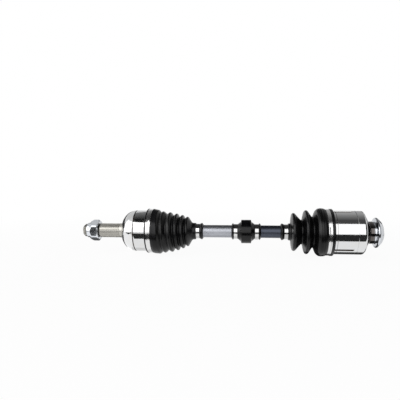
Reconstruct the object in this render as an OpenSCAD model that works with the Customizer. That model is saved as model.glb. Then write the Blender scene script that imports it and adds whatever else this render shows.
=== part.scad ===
// Front drive axle of a car: a ball joint at the wheel end (-X), a plunging tripod joint at the gearbox end (+X).
// The axle lies along X, and the origin is the middle of the bare bar beside the damper.

/* [Bar] */
// Diameter of the bar
bar_d = 23; // [21:0.5:25]
// Distance from the origin to the centre of the outer joint
outer_reach = 134; // [128:1:150]
// Distance from the origin to the centre of the inner joint
inner_reach = 220; // [214:1:240]
// Number of teeth on the bar's splined ends
bar_teeth = 26; // [20:1:30]
// Depth of the bar's spline teeth
bar_tooth_h = 0.9; // [0.6:0.1:1.2]

/* [Outer joint] */
// Diameter of the bell
bell_d = 77; // [75:0.5:84]
// Distance from the joint's centre to the bell's mouth
bell_mouth = 17; // [15:0.5:18]
// Distance from the joint's centre to the bell's shoulder
bell_depth = 43; // [41:0.5:50]
// Diameter of the bell's shoulder, where the wheel bearing seats
shoulder_d = 50; // [44:0.5:54]
// Diameter of the circle through the balls' centres
ball_circle_d = 53; // [52:0.2:54]
// Diameter of each ball
ball_d = 15.9; // [15:0.1:16.2]
// Width of the inner race
race_w = 22; // [19:0.5:23]
// Width of the cage
cage_w = 23; // [21:0.5:24]
// Wall of the cage
cage_wall = 5.3; // [4.5:0.1:5.6]
// Sideways room of a ball in its track
track_room = 1.3; // [1.25:0.05:1.5]

/* [Stub] */
// Diameter over the stub's spline teeth
stub_d = 26.6; // [25.6:0.1:28]
// Number of teeth on the stub's spline
stub_teeth = 28; // [22:1:34]
// Depth of the stub's spline teeth
stub_tooth_h = 1; // [0.6:0.1:1.3]
// Length of the plain pilot next to the shoulder
pilot_l = 9; // [6:0.5:12]
// Diameter of the plain pilot
pilot_d = 27; // [26.8:0.1:30]
// Length of the stub's spline
stub_spline_l = 40; // [34:1:50]
// Diameter of the hub nut's thread
thread_d = 24; // [20:1:24]
// Pitch of the thread
thread_pitch = 1.5; // [1.5:0.25:2]
// Length of the thread
thread_l = 31.2; // [30:0.2:38]

/* [Hub nut] */
// Width across the flats of the nut
nut_flats = 36; // [34:0.5:38]
// Height of the nut's hexagon
nut_hex_h = 16.4; // [14:0.2:18]
// Diameter over the nut's chamfered corners
nut_corner_d = 40.2; // [39.5:0.1:41.5]
// Height of the thin collar that is staked into the stub's groove
nut_collar_h = 6.4; // [4:0.2:8]
// Wall of the thin collar
nut_collar_wall = 1.6; // [1.2:0.1:2.5]

/* [Outer boot] */
// Length of the outer boot
outer_boot_l = 104.6; // [98:0.2:110]
// Wall of the outer boot
outer_boot_wall = 2; // [1.6:0.1:2.3]
// Number of small folds
outer_folds = 5; // [4:1:5]
// Diameter of the first small fold, at the bell
outer_fold_big_d = 77.8; // [74:0.2:80]
// Diameter of the last small fold, at the bar
outer_fold_small_d = 55.4; // [52:0.2:58]
// Diameter of the first valley, at the bell
outer_valley_big_d = 74; // [71:0.2:75]
// Diameter of the last valley, at the bar
outer_valley_small_d = 50.2; // [47:0.2:51]
// Distance between the first two small folds
outer_fold_pitch = 13; // [12.4:0.1:13.4]
// How much shorter each fold is than the one before it
outer_fold_shrink = 0.89; // [0.87:0.01:0.91]

/* [Inner joint] */
// Diameter of the inner housing
housing_d = 78.6; // [77.6:0.2:84]
// Distance from the joint's centre to the housing's mouth
housing_mouth = 30; // [28:0.5:32]
// Distance from the joint's centre to the bottom of the housing
housing_bottom = 35; // [35:0.5:38]
// Thickness of the housing's end wall, from the cavity to the neck
housing_wall = 13; // [12:0.5:18]
// Diameter of the neck
neck_d = 39.8; // [38:0.2:44]
// Length of the neck and the hub end behind the housing
neck_l = 25; // [24:0.5:34]
// Distance from the axle's axis to the middle of a roller
roller_reach = 22; // [21.5:0.1:22.2]
// Diameter of a roller
roller_d = 31; // [30:0.2:31.2]
// Width of a roller
roller_w = 11; // [10:0.2:11.4]
// Diameter of a trunnion
trunnion_d = 18; // [17:0.2:18.6]
// Diameter of a needle
needle_d = 3; // [2.5:0.1:3]
// Sideways room of a roller in its track
roller_room = 0.9; // [0.85:0.05:1.1]
// Diameter of the spider's hub
spider_d = 32; // [31:0.2:32.4]
// Width of the spider's hub
spider_w = 24; // [21:0.5:25]
// Depth of the long slots in the outside of the housing
slot_h = 2; // [1:0.1:3]
// Width of a slot
slot_w = 4.2; // [3:0.1:8]

/* [Gearbox bore] */
// Diameter of the plain mouth of the splined bore
bore_mouth_d = 28.6; // [28:0.2:30]
// Depth of the plain mouth
bore_mouth_l = 6; // [4:0.5:8]
// Diameter of the bore inside its spline teeth
bore_d = 25.4; // [23:0.2:26]
// Number of teeth in the bore
bore_teeth = 27; // [20:1:32]
// Depth of the teeth in the bore
bore_tooth_h = 1; // [0.6:0.1:1.2]

/* [Inner boot] */
// Length of the inner boot
inner_boot_l = 91.4; // [90:0.2:96]
// Wall of the inner boot
inner_boot_wall = 2.4; // [2:0.1:2.8]
// Diameter of the boot's shoulder round the housing
inner_shoulder_d = 87.2; // [86.2:0.2:92]
// Diameter of the large fold
inner_fold_big_d = 79.8; // [76:0.2:84]
// Diameter of the small fold
inner_fold_small_d = 69.4; // [66:0.2:73]
// Diameter of the valley between the shoulder and the large fold
inner_valley_big_d = 56.8; // [54:0.2:60]
// Diameter of the valley between the folds
inner_valley_small_d = 44.6; // [42:0.2:48]

/* [Damper] */
// Distance from the origin to the damper's near end
damper_start = 26; // [22:0.5:34]
// Length of the damper
damper_l = 54; // [52:0.5:60]
// Diameter of the damper's body
damper_d = 43.4; // [42:0.2:48]
// Length of the damper's body
damper_body_l = 18; // [17:0.5:22]
// Rubber over the steel weight
damper_skin = 2.4; // [1.8:0.1:3]

/* [Bands] */
// Thickness of a band
band_wall = 0.7; // [0.5:0.05:0.8]
// Width of the outer boot's large band
outer_band_w = 8.4; // [7:0.1:8.4]
// Width of the inner boot's large band
inner_band_w = 6.8; // [6:0.1:8.4]
// Width of a small band
small_band_w = 6.8; // [5.5:0.1:6.8]
// Height of a band's pinched ear
ear_h = 4; // [3:0.1:5]
// Rubber between a band and what it grips
grip_rubber = 1.9; // [1.5:0.1:2.2]

/* [Dust shield] */
// Diameter of the dust shield's rim
shield_d = 54.2; // [50:0.2:58]
// Thickness of the dust shield's sheet
shield_wall = 1.2; // [0.8:0.1:1.6]
// Depth of the dust shield's dish
shield_l = 9; // [8:0.2:11]

/* [Hidden] */

$fn = 96;
// Radial room of a running fit, and of a piece pressed or clamped on another
run_gap = 0.06;
seat_gap = 0.04;
// Room between round faces that pass each other
pass_gap = 0.2;
// Small chamfers and how far a cutting shape runs past a face
edge = 1;
past = 1;

bar_r = bar_d / 2;
bell_r = bell_d / 2;
housing_r = housing_d / 2;
neck_r = neck_d / 2;
ball_r = ball_d / 2;
ball_circle_r = ball_circle_d / 2;

// Outer joint: the cage's wall holds the balls' centres, and the races run against it
outer_x = -outer_reach;
ball_count = 6;
ball_depth_in_cage = 3.8;
cage_in_r = ball_circle_r - ball_depth_in_cage;
cage_out_r = cage_in_r + cage_wall;
race_r = cage_in_r - pass_gap;
seat_r = cage_out_r + pass_gap;
track_r = ball_r + run_gap;
// The cage's seat in the bell ends here, and a 45 degree cone leads on to the mouth
seat_end = 9.5;
race_stop_d = bar_d + 4;
race_stop_w = 3;
clip_w = 1.3;
clip_depth = 1.2;
clip_rise = 1.6;
clip_open = 3.2;
// The bar's end runs past its clip
bar_end_l = 3;

// Stub: stations from the bell's shoulder to the tip
shoulder_x = outer_x - bell_depth;
pilot_x = shoulder_x - pilot_l;
spline_x = pilot_x - stub_spline_l;
tip_x = spline_x - thread_l;
thread_r = thread_d / 2;
thread_h = 0.6 * thread_pitch;
stake_w = 3.6;
stake_h = 2.4;
stake_l = 14;
centre_hole_d = 7;

// Bell: the cylinder that the boot is clamped on starts at a fine groove, and the nose is one arc
nose_reach = 19.5;
nose_x = outer_x - nose_reach;
nose_groove_w = 1.8;
nose_groove_h = 1.6;

// Inner joint
inner_x = inner_reach;
mouth_x = inner_x - housing_mouth;
bottom_x = inner_x + housing_bottom;
neck_x = bottom_x + housing_wall;
end_x = neck_x + neck_l;
roller_r = roller_d / 2;
trunnion_r = trunnion_d / 2;
needle_r = needle_d / 2;
needle_gap = 0.03;
needle_circle_r = trunnion_r + needle_gap + needle_r;
roller_bore_r = needle_circle_r + needle_r + needle_gap;
washer_w = 1;
roller_outer_face = roller_reach + roller_w / 2;
washer_face = roller_outer_face + seat_gap;
clip_face = washer_face + washer_w + seat_gap;
trunnion_end = clip_face + clip_w + 1;
// Tracks in the housing
roller_track_r = roller_r + roller_room;
track_top = trunnion_end + 1.9;
hub_room = 4.6;
core_r = spider_d / 2 + hub_room;
mouth_flare_h = 6.4;
mouth_core_r = core_r + mouth_flare_h;
mouth_flare_l = 20;
trunnion_angles = [180, 60, 300];
bar_neck_d = bar_d - 1.8;
// Fine lines turned into the housing, behind the boot's lip and before the rounded rear edge
score_w = 1;
score_h = 0.4;
front_score = 4;
rear_score = 9.4;
// The slots lie between the tracks, turned a little towards one of them, and end before the rear line
slot_turn = 16;
slot_end = 5.5;
rear_round = 5;
neck_fillet = 3;
// The hub end behind the neck, where the dust shield is pressed on
hub_step = 1.6;
hub_l = 16;
hub_r = neck_r - hub_step;
hub_x = end_x - hub_l;
plug_d = bore_mouth_d + 4;
plug_l = 4;
plug_wall = 1.4;

// Boots: where the rubber is clamped
lip_w = 2.1;
lip_rise = 1.3;
outer_grip_r = bell_r + seat_gap + grip_rubber;
inner_grip_r = housing_r + seat_gap + grip_rubber;
bar_grip_r = bar_r + seat_gap + grip_rubber - 0.5;
outer_boot_cover = 14;
inner_boot_cover = 16.5;
outer_boot_x = outer_x + bell_mouth - outer_boot_cover;
inner_boot_x = mouth_x + inner_boot_cover;
inner_lip_w = 5;
small_lip_l = 6.6;
damper_lip_l = 4.2;
band_play = 0.1;
neck_wall_r = bar_grip_r + lip_rise + 1.2;
// Outer boot, measured from the end of the band's groove: two low ridges, the small folds and the neck.
// All these places stretch with the boot's length.
ridge_1 = 3.5;
ridge_valley = 6.9;
ridge_2 = 10.2;
first_fold = 20.2;
first_step = 9.2;
last_step = 11.9;
neck_step = 4.2;
// Inner boot, as shares of its bellows' length: shoulder, valley, large fold, valley, small fold
inner_places = [0.131, 0.343, 0.508, 0.641, 0.848];

// Points on an arc about c, from angle a to angle b
function arc(c, r, a, b, n) = [
    for (i = [0:n])
        let (t = a + (b - a) * i / n)
        [c[0] + r * cos(t), c[1] + r * sin(t)]
];
function mix(a, b, t) = a + (b - a) * t;
function reversed(v) = [for (i = [len(v) - 1:-1:0]) v[i]];

// Bellows outline. A station is [place along the boot, radius of its apex, fillet, 1 for a fold or -1 for a valley].
// Straight flanks run tangent from each station's fillet to the next, and inset moves the whole outline inwards.
function bend(s, inset) = s[3] * s[2] - inset;
function centre(s) = [s[0], s[1] - s[3] * s[2]];
function flank(a, b) =
    let (d = centre(b) - centre(a))
    atan2(d[1], d[0]) - asin((bend(a, 0) - bend(b, 0)) / norm(d));
function bellows(st, inset, first, last) = [
    for (i = [0:len(st) - 1])
        let (a = i == 0 ? first : flank(st[i - 1], st[i]))
        let (b = i == len(st) - 1 ? last : flank(st[i], st[i + 1]))
        each arc(centre(st[i]), bend(st[i], inset), a + 90, b + 90, 6)
];

// A solid of revolution about X, from its outline as [place along X, radius]
module turned(outline, angle = 360) {
    rotate([0, 90, 0])
        rotate_extrude(angle = angle)
            polygon([for (p = outline) [p[1], p[0]]]);
}

// A plain ring about X
module ring(x, w, inner_r, outer_r) {
    turned([[x, inner_r], [x, outer_r], [x + w, outer_r], [x + w, inner_r]]);
}

// A sphere whose poles lie on X, clear of the ball tracks
module globe(r) {
    rotate([0, 90, 0])
        sphere(r = r);
}

// A round rod along X
module rod(r, x, l) {
    translate([x, 0, 0])
        rotate([0, 90, 0])
            cylinder(r = r, h = l);
}

// A flat outline in the Y-Z plane, drawn out along X
module along_x(x, l) {
    translate([x, 0, 0])
        rotate([90, 0, 90])
            linear_extrude(l)
                children();
}

// A splined rod's section: straight-sided teeth between two circles
function spline_points(teeth, top_r, h) = [
    for (i = [0:teeth - 1])
        for (k = [[0.1, 0], [0.24, 1], [0.56, 1], [0.7, 0]])
            let (a = 360 * (i + k[0]) / teeth)
            let (r = top_r - h * (1 - k[1]))
            [r * cos(a), r * sin(a)]
];
module splined(teeth, top_r, h, x, l) {
    along_x(x, l)
        polygon(spline_points(teeth, top_r, h));
}

// The path of a ball about the joint's centre, from angle a over a span, with sideways room
module ball_path(a, span) {
    for (side = [-1, 1])
        rotate([0, 0, a])
            translate([0, 0, side * track_room])
                rotate_extrude(angle = span)
                    translate([ball_circle_r, 0])
                        circle(r = track_r);
    rotate([0, 0, a])
        rotate_extrude(angle = span)
            translate([ball_circle_r - track_r, -track_room])
                square([2 * track_r, 2 * track_room]);
}

// Places its children at each ball's angle round the axis, skipping the first few
module at_balls(skip = 0) {
    for (i = [skip:ball_count - 1])
        rotate([360 * i / ball_count, 0, 0])
            children();
}

// An open retaining ring in a groove of the bar
module circlip(x, groove_r) {
    difference() {
        ring(x, clip_w - 2 * seat_gap, groove_r + seat_gap, groove_r + clip_depth + clip_rise);
        translate([x - past, -clip_open / 2, 0])
            cube([clip_w + 2 * past, clip_open, groove_r + clip_depth + clip_rise + past]);
    }
}

// A bright band with an overlapped end and a pinched ear at an angle round the axis
module band(x, w, r, angle) {
    overlap = 215;
    ear_w = 7;
    ear_wall = 0.8;
    inset = 0.3;
    color("gainsboro")
        rotate([angle, 0, 0]) {
            ring(x, w, r + seat_gap, r + band_wall);
            turned([[x + inset, r + band_wall / 2], [x + inset, r + 1.5 * band_wall],
                [x + w - inset, r + 1.5 * band_wall], [x + w - inset, r + band_wall / 2]], overlap);
            difference() {
                translate([x + inset, -ear_w / 2, r + band_wall / 2])
                    cube([w - 2 * inset, ear_w, ear_h]);
                translate([x - past, -ear_w / 2 + ear_wall, r + 1.5 * band_wall])
                    cube([w + 2 * past, ear_w - 2 * ear_wall, ear_h - band_wall - ear_wall]);
                for (side = [-1, 1])
                    translate([x - past, side * ear_w / 2, r + band_wall + ear_h * 0.45])
                        rotate([0, 90, 0])
                            cylinder(d = ear_wall * 0.9, h = w + 2 * past);
            }
        }
}

module axle_bar() {
    left = outer_x - race_w / 2 - clip_w - bar_end_l;
    right = inner_x + spider_w / 2 + clip_w + bar_end_l;
    race_side = outer_x + race_w / 2;
    spider_side = inner_x - spider_w / 2;
    color("slategray")
        difference() {
            union() {
                splined(bar_teeth, bar_r - seat_gap, bar_tooth_h, left, race_side - left + past);
                turned([[race_side + seat_gap, 0], [race_side + seat_gap, race_stop_d / 2 - edge / 2],
                    [race_side + seat_gap + edge / 2, race_stop_d / 2], [race_side + race_stop_w, race_stop_d / 2],
                    [race_side + race_stop_w + edge, bar_r], [inner_boot_x - inner_boot_l + small_lip_l * 3, bar_r],
                    [inner_boot_x - inner_boot_l + small_lip_l * 4, bar_neck_d / 2],
                    [spider_side - race_stop_w - edge, bar_neck_d / 2], [spider_side - race_stop_w, race_stop_d / 2],
                    [spider_side - seat_gap - edge / 2, race_stop_d / 2],
                    [spider_side - seat_gap, race_stop_d / 2 - edge / 2], [spider_side - seat_gap, 0]]);
                splined(bar_teeth, bar_r - seat_gap, bar_tooth_h, spider_side - past, right - spider_side + past);
            }
            ring(outer_x - race_w / 2 - clip_w, clip_w, bar_r - bar_tooth_h - clip_depth, bar_r + past);
            ring(inner_x + spider_w / 2, clip_w, bar_r - bar_tooth_h - clip_depth, bar_r + past);
            turned([[left - past, bar_r], [left, bar_r - 1.5 * edge], [left + 1.5 * edge, bar_r],
                [left + 1.5 * edge, bar_r + past], [left - past, bar_r + past]]);
            turned([[right + past, bar_r], [right, bar_r - 1.5 * edge], [right - 1.5 * edge, bar_r],
                [right - 1.5 * edge, bar_r + past], [right + past, bar_r + past]]);
        }
}

module inner_race() {
    color("silver")
        translate([outer_x, 0, 0])
            difference() {
                intersection() {
                    globe(race_r);
                    rod(race_r + past, -race_w / 2, race_w);
                }
                splined(bar_teeth, bar_r, bar_tooth_h, -race_w, 2 * race_w);
                rotate([90, 0, 0])
                    at_balls()
                        ball_path(30, 120);
            }
}

module race_circlip() {
    color("dimgray")
        circlip(outer_x - race_w / 2 - clip_w + seat_gap, bar_r - bar_tooth_h - clip_depth);
}

module ball_cage() {
    color("darkgray")
        translate([outer_x, 0, 0])
            difference() {
                intersection() {
                    globe(cage_out_r);
                    rod(cage_out_r + past, -cage_w / 2, cage_w);
                }
                globe(cage_in_r);
                at_balls()
                    cylinder(r = ball_r + run_gap, h = cage_out_r + past);
            }
}

module cage_balls() {
    color("silver")
        translate([outer_x, 0, 0])
            at_balls(1)
                translate([0, 0, ball_circle_r])
                    sphere(r = ball_r);
}

module top_ball() {
    color("silver")
        translate([outer_x, 0, ball_circle_r])
            sphere(r = ball_r);
}

module outer_bell() {
    mouth = outer_x + bell_mouth;
    seat_end_r = sqrt(seat_r * seat_r - seat_end * seat_end);
    color("silver")
        difference() {
            union() {
                bell_outside(mouth);
                stub_outside();
            }
            translate([outer_x, 0, 0])
                globe(seat_r);
            turned([[outer_x, 0], [outer_x, seat_end_r - seat_end],
                [mouth + past, seat_end_r + bell_mouth - seat_end + past], [mouth + past, 0]]);
            translate([outer_x, 0, 0])
                rotate([90, 0, 0])
                    at_balls()
                        ball_path(15, 118);
            for (turn = [0, 180])
                rotate([turn, 0, 0])
                    translate([tip_x - past, -thread_r - past, -stake_w / 2])
                        cube([stake_l + past, stake_h + past, stake_w]);
            turned([[tip_x - past, 0], [tip_x - past, centre_hole_d / 2 + past], [tip_x + centre_hole_d * 0.85, 0]]);
        }
}

// The bell's forged outside: shoulder, nose, a fine groove and the cylinder that the boot is clamped on
module bell_outside(mouth) {
    shoulder_r = shoulder_d / 2;
    nose_w = nose_x - shoulder_x - edge;
    drop = bell_r - shoulder_r;
    nose_r = (nose_w * nose_w + drop * drop) / (2 * drop);
    slope = 0.3;
    turned(concat([[shoulder_x, 0], [shoulder_x, shoulder_r - edge]],
        arc([nose_x, bell_r - nose_r], nose_r, atan2(nose_r - drop, -nose_w), 90, 12),
        [[nose_x + slope, bell_r - nose_groove_h], [nose_x + nose_groove_w - slope, bell_r - nose_groove_h],
        [nose_x + nose_groove_w, bell_r], [mouth - edge, bell_r], [mouth, bell_r - edge], [mouth, 0]]));
}

// The stub: pilot, spline and thread, each with its chamfer
module stub_outside() {
    root_r = stub_d / 2 - stub_tooth_h;
    turned([[shoulder_x + past, 0], [shoulder_x + past, pilot_d / 2], [pilot_x + edge, pilot_d / 2],
        [pilot_x, pilot_d / 2 - edge], [pilot_x, 0]]);
    intersection() {
        splined(stub_teeth, stub_d / 2, stub_tooth_h, spline_x, stub_spline_l + past);
        turned([[spline_x, 0], [spline_x, root_r - edge / 2], [spline_x + 2 * stub_tooth_h, stub_d / 2 + edge / 2],
            [pilot_x + past, stub_d / 2 + edge / 2], [pilot_x + past, 0]]);
    }
    lead = 3;
    turns = floor((thread_l - 2 * lead) / thread_pitch);
    turned(concat([[tip_x, 0], [tip_x, thread_r - lead], [tip_x + lead, thread_r - thread_h]],
        [for (i = [0:turns - 1]) for (k = [[0.1, 0], [0.45, 1], [0.65, 1]])
            [tip_x + lead + (i + k[0]) * thread_pitch, thread_r - thread_h * (1 - k[1])]],
        [[tip_x + lead + turns * thread_pitch, thread_r - thread_h], [spline_x + past, thread_r - thread_h],
        [spline_x + past, 0]]));
}

module hub_nut() {
    seat_room = 0.3;
    front_chamfer = 5;
    back_chamfer = 2;
    seat = spline_x - seat_room;
    face = seat - nut_hex_h;
    bore_r = thread_r + run_gap;
    corner_r = nut_corner_d / 2;
    flat_r = nut_flats / 2;
    color("gainsboro")
        difference() {
            union() {
                intersection() {
                    along_x(face, nut_hex_h)
                        rotate(30)
                            circle(r = flat_r / cos(30), $fn = 6);
                    turned([[face, 0], [face, flat_r - edge], [face + front_chamfer, corner_r],
                        [seat - back_chamfer, corner_r], [seat, flat_r - edge / 2], [seat, 0]]);
                }
                turned([[face - nut_collar_h, 0], [face - nut_collar_h, bore_r + nut_collar_wall - edge / 2],
                    [face - nut_collar_h + edge / 2, bore_r + nut_collar_wall],
                    [face + past, bore_r + nut_collar_wall], [face + past, 0]]);
            }
            rod(bore_r, face - nut_collar_h - past, nut_hex_h + nut_collar_h + 2 * past);
        }
}

// The stations of the outer boot, measured from its lip on the bell
function outer_fold_w(k) = outer_fold_pitch * (1 - pow(outer_fold_shrink, k)) / (1 - outer_fold_shrink);
function outer_fold_r(k) =
    (outer_fold_big_d - (outer_fold_big_d - outer_fold_small_d) * pow(k / (outer_folds - 1), 1.35)) / 2;
function outer_valley_r(k) = mix(outer_valley_big_d, outer_valley_small_d, k / (outer_folds - 1)) / 2;
function outer_stations(start, end) =
    let (fold = 2.6)
    let (valley = 1)
    let (neck_fold = 5)
    let (ridge = outer_grip_r + lip_rise)
    let (last_fold = first_fold + outer_fold_w(outer_folds - 1))
    let (stretch = (end - start) / (last_fold + last_step + neck_step))
    [for (s = concat([[ridge_1, ridge, fold, 1], [ridge_valley, ridge - 1.5, valley, -1],
        [ridge_2, ridge - 0.6, fold, 1]],
        [for (k = [0:outer_folds - 1])
            let (at = first_fold + outer_fold_w(k))
            let (step = k == 0 ? first_step : outer_fold_w(k) - outer_fold_w(k - 1))
            each [[at - 0.48 * step, outer_valley_r(k), valley, -1], [at, outer_fold_r(k), fold, 1]]],
        [[last_fold + last_step, neck_wall_r, neck_fold, -1]]))
        [start + s[0] * stretch, s[1], s[2], s[3]]];

module outer_boot() {
    grip_end = lip_w + outer_band_w + 2 * band_play;
    neck_w = outer_boot_l - small_lip_l - small_band_w - 2 * band_play;
    folds = outer_stations(grip_end, neck_w);
    inside = bellows(folds, outer_boot_wall, 0, 0);
    color("#202022")
        translate([outer_boot_x, 0, 0])
            turned(concat(large_end(bell_r + seat_gap, outer_grip_r, lip_w, grip_end),
                [[grip_end, outer_grip_r + lip_rise - 0.3]], bellows(folds, 0, 0, 0),
                small_end(neck_w, neck_wall_r, outer_boot_l),
                [[neck_w, bar_r + seat_gap]], reversed(inside),
                [[grip_end + 1.6, bell_r + seat_gap]]));
}

// The two ends of a boot: a lip and a band's groove at the large end, a groove and a tapered lip at the small end
function large_end(bore_r, grip_r, lip, grip_end) = [
    [0, bore_r], [0, grip_r + lip_rise - 0.5], [0.5, grip_r + lip_rise], [lip - 0.4, grip_r + lip_rise],
    [lip, grip_r + lip_rise - 0.4], [lip, grip_r], [grip_end, grip_r]
];
function small_end(neck_w, neck_out, end) = [
    [neck_w - 1, neck_out], [neck_w, neck_out - 1], [neck_w, bar_grip_r],
    [end - small_lip_l, bar_grip_r], [end - small_lip_l, bar_grip_r + 0.8],
    [end - small_lip_l * 0.5, bar_grip_r + lip_rise + 1.1], [end - small_lip_l * 0.3, bar_grip_r + lip_rise + 1],
    [end, bar_r + 0.8], [end, bar_r + seat_gap]
];

module outer_large_band() {
    band(outer_boot_x + lip_w + band_play, outer_band_w, outer_grip_r, 200);
}

module outer_small_band() {
    band(outer_boot_x + outer_boot_l - small_lip_l - band_play - small_band_w, small_band_w, bar_grip_r, 250);
}

module inner_boot() {
    grip_end = inner_lip_w + inner_band_w + 2 * band_play;
    neck_w = inner_boot_l - small_lip_l - small_band_w - 2 * band_play;
    shoulder = 5.5;
    fold = 3.4;
    valley = 2;
    neck_fold = 2.4;
    corner = 1.4;
    shoulder_r = inner_shoulder_d / 2;
    at = [for (p = inner_places) mix(grip_end, neck_w, p)];
    folds = [[at[0], shoulder_r, shoulder, 1], [at[1], inner_valley_big_d / 2, valley, -1],
        [at[2], inner_fold_big_d / 2, fold, 1], [at[3], inner_valley_small_d / 2, valley, -1],
        [at[4], inner_fold_small_d / 2, fold, 1], [neck_w - neck_fold, neck_wall_r, neck_fold, -1]];
    inside = bellows(folds, inner_boot_wall, 0, 0);
    color("#1c1c1e")
        translate([inner_boot_x, 0, 0])
            mirror([1, 0, 0])
                turned(concat(large_end(housing_r + seat_gap, inner_grip_r, inner_lip_w, grip_end),
                    [[grip_end, shoulder_r - corner], [grip_end + corner, shoulder_r]],
                    bellows(folds, 0, 0, 0), small_end(neck_w, neck_wall_r, inner_boot_l),
                    [[neck_w, bar_r + seat_gap]], reversed(inside),
                    [[grip_end + 2 * edge, shoulder_r - inner_boot_wall],
                    [grip_end + 2 * edge, housing_r + seat_gap]]));
}

module inner_small_band() {
    band(inner_boot_x - inner_boot_l + small_lip_l + band_play, small_band_w, bar_grip_r, 230);
}

module inner_large_band() {
    band(inner_boot_x - inner_lip_w - band_play - inner_band_w, inner_band_w, inner_grip_r, 215);
}

// The damper's steel weight, with room all round it when it is cut from the rubber
module weight_ring(room) {
    middle = damper_start + damper_l / 2;
    ring(middle - damper_body_l / 2 + damper_skin - room, damper_body_l - 2 * (damper_skin - room),
        bar_r + seat_gap + damper_skin - room, damper_d / 2 - damper_skin + room);
}

module damper_rubber() {
    middle = damper_start + damper_l / 2;
    half = damper_l / 2;
    body = damper_body_l / 2;
    grip_in = half - damper_lip_l;
    grip_out = grip_in - small_band_w - 2 * band_play;
    body_r = damper_d / 2;
    hole_d = 2.4;
    side = [[0, body_r], [body - 0.4, body_r], [body, body_r - 0.4], [body + 0.8, body_r - 3.6],
        [grip_out - 1, bar_grip_r + 1.2], [grip_out, bar_grip_r + 0.6], [grip_out, bar_grip_r],
        [grip_in, bar_grip_r], [grip_in, bar_grip_r + 0.8], [grip_in + 1, bar_grip_r + lip_rise + 1.1],
        [half - 2, bar_grip_r + lip_rise + 1], [half, bar_r + 0.8], [half, bar_r + seat_gap]];
    color("#232325")
        difference() {
            translate([middle, 0, 0])
                turned(concat(side, [for (p = reversed(side)) [-p[0], p[1]]]));
            weight_ring(seat_gap);
            for (angle = [45:90:315])
                rotate([angle, 0, 0])
                    translate([middle, 0, mix(bar_r, body_r, 0.5)])
                        rotate([0, 90, 0])
                            cylinder(d = hole_d, h = damper_l, center = true);
        }
}

module damper_weight() {
    color("gray")
        weight_ring(0);
}

module damper_left_band() {
    band(damper_start + damper_lip_l + band_play, small_band_w, bar_grip_r, 240);
}

module damper_right_band() {
    band(damper_start + damper_l - damper_lip_l - band_play - small_band_w, small_band_w, bar_grip_r, 210);
}

// Places its children on a trunnion, whose axis is Z there
module on_trunnion(i) {
    translate([inner_x, 0, 0])
        rotate([trunnion_angles[i] - 90, 0, 0])
            children();
}

// The hub's round face runs a little past the trunnions, and chamfers end it
module tripod_spider() {
    chamfer = spider_w / 2 - trunnion_r - 0.6 * edge;
    left = inner_x - spider_w / 2;
    right = inner_x + spider_w / 2;
    color("darkgray")
        difference() {
            union() {
                turned([[left, 0], [left, spider_d / 2 - chamfer], [left + chamfer, spider_d / 2],
                    [right - chamfer, spider_d / 2], [right, spider_d / 2 - chamfer], [right, 0]]);
                for (i = [0:2])
                    on_trunnion(i)
                        cylinder(r = trunnion_r, h = trunnion_end);
            }
            splined(bar_teeth, bar_r, bar_tooth_h, inner_x - spider_w, 2 * spider_w);
            for (i = [0:2])
                on_trunnion(i)
                    translate([0, 0, clip_face])
                        difference() {
                            cylinder(r = trunnion_r + past, h = clip_w);
                            translate([0, 0, -past])
                                cylinder(r = trunnion_r - clip_depth, h = clip_w + 2 * past);
                        }
        }
}

module spider_circlip() {
    color("dimgray")
        circlip(inner_x + spider_w / 2 + seat_gap, bar_r - bar_tooth_h - clip_depth);
}

// A full set of needles round one trunnion
module needle_set(i) {
    end_room = 0.3;
    count = floor(360 / (2 * asin((needle_r + 4 * needle_gap) / needle_circle_r)));
    color("silver")
        on_trunnion(i)
            for (n = [0:count - 1])
                rotate([0, 0, 360 * n / count])
                    translate([needle_circle_r, 0, roller_reach - roller_w / 2 + end_room])
                        cylinder(r = needle_r, h = roller_w - 2 * end_room);
}

module needles_1() {
    needle_set(0);
}

module needles_2() {
    needle_set(1);
}

module needles_3() {
    needle_set(2);
}

// A roller: a barrel cut from a ball, with the needles' bore
module roller(i) {
    color("silver")
        on_trunnion(i)
            translate([0, 0, roller_reach])
                difference() {
                    intersection() {
                        sphere(r = roller_r);
                        cylinder(r = roller_r + past, h = roller_w, center = true);
                    }
                    cylinder(r = roller_bore_r, h = roller_w + 2 * past, center = true);
                }
}

module roller_1() {
    roller(0);
}

module roller_2() {
    roller(1);
}

module roller_3() {
    roller(2);
}

// A washer over each trunnion keeps the needles and the roller on
module roller_washers() {
    color("dimgray")
        for (i = [0:2])
            on_trunnion(i)
                translate([0, 0, washer_face])
                    difference() {
                        cylinder(r = roller_bore_r + 1.2, h = washer_w);
                        translate([0, 0, -past])
                            cylinder(r = trunnion_r + seat_gap, h = washer_w + 2 * past);
                    }
}

// A snap ring in each trunnion's groove
module roller_clips() {
    groove_r = trunnion_r - clip_depth;
    color("dimgray")
        for (i = [0:2])
            on_trunnion(i)
                translate([0, 0, clip_face + seat_gap])
                    difference() {
                        cylinder(r = trunnion_r + clip_rise, h = clip_w - 2 * seat_gap);
                        translate([0, 0, -past])
                            cylinder(r = groove_r + seat_gap, h = clip_w + 2 * past);
                        translate([0, -clip_open / 2, -past])
                            cube([trunnion_r + clip_rise + past, clip_open, clip_w + 2 * past]);
                    }
}

// The section of the housing's hollow: three roller tracks and the room for the spider's hub
module hollow_section() {
    circle(r = core_r);
    for (a = trunnion_angles)
        rotate(a)
            intersection() {
                translate([roller_reach, 0])
                    circle(r = roller_track_r);
                translate([0, -roller_track_r - past])
                    square([track_top, 2 * (roller_track_r + past)]);
            }
}

// A fine line turned into the housing
function score(x) = [[x - score_w / 2, housing_r], [x, housing_r - score_h], [x + score_w / 2, housing_r]];

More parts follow.
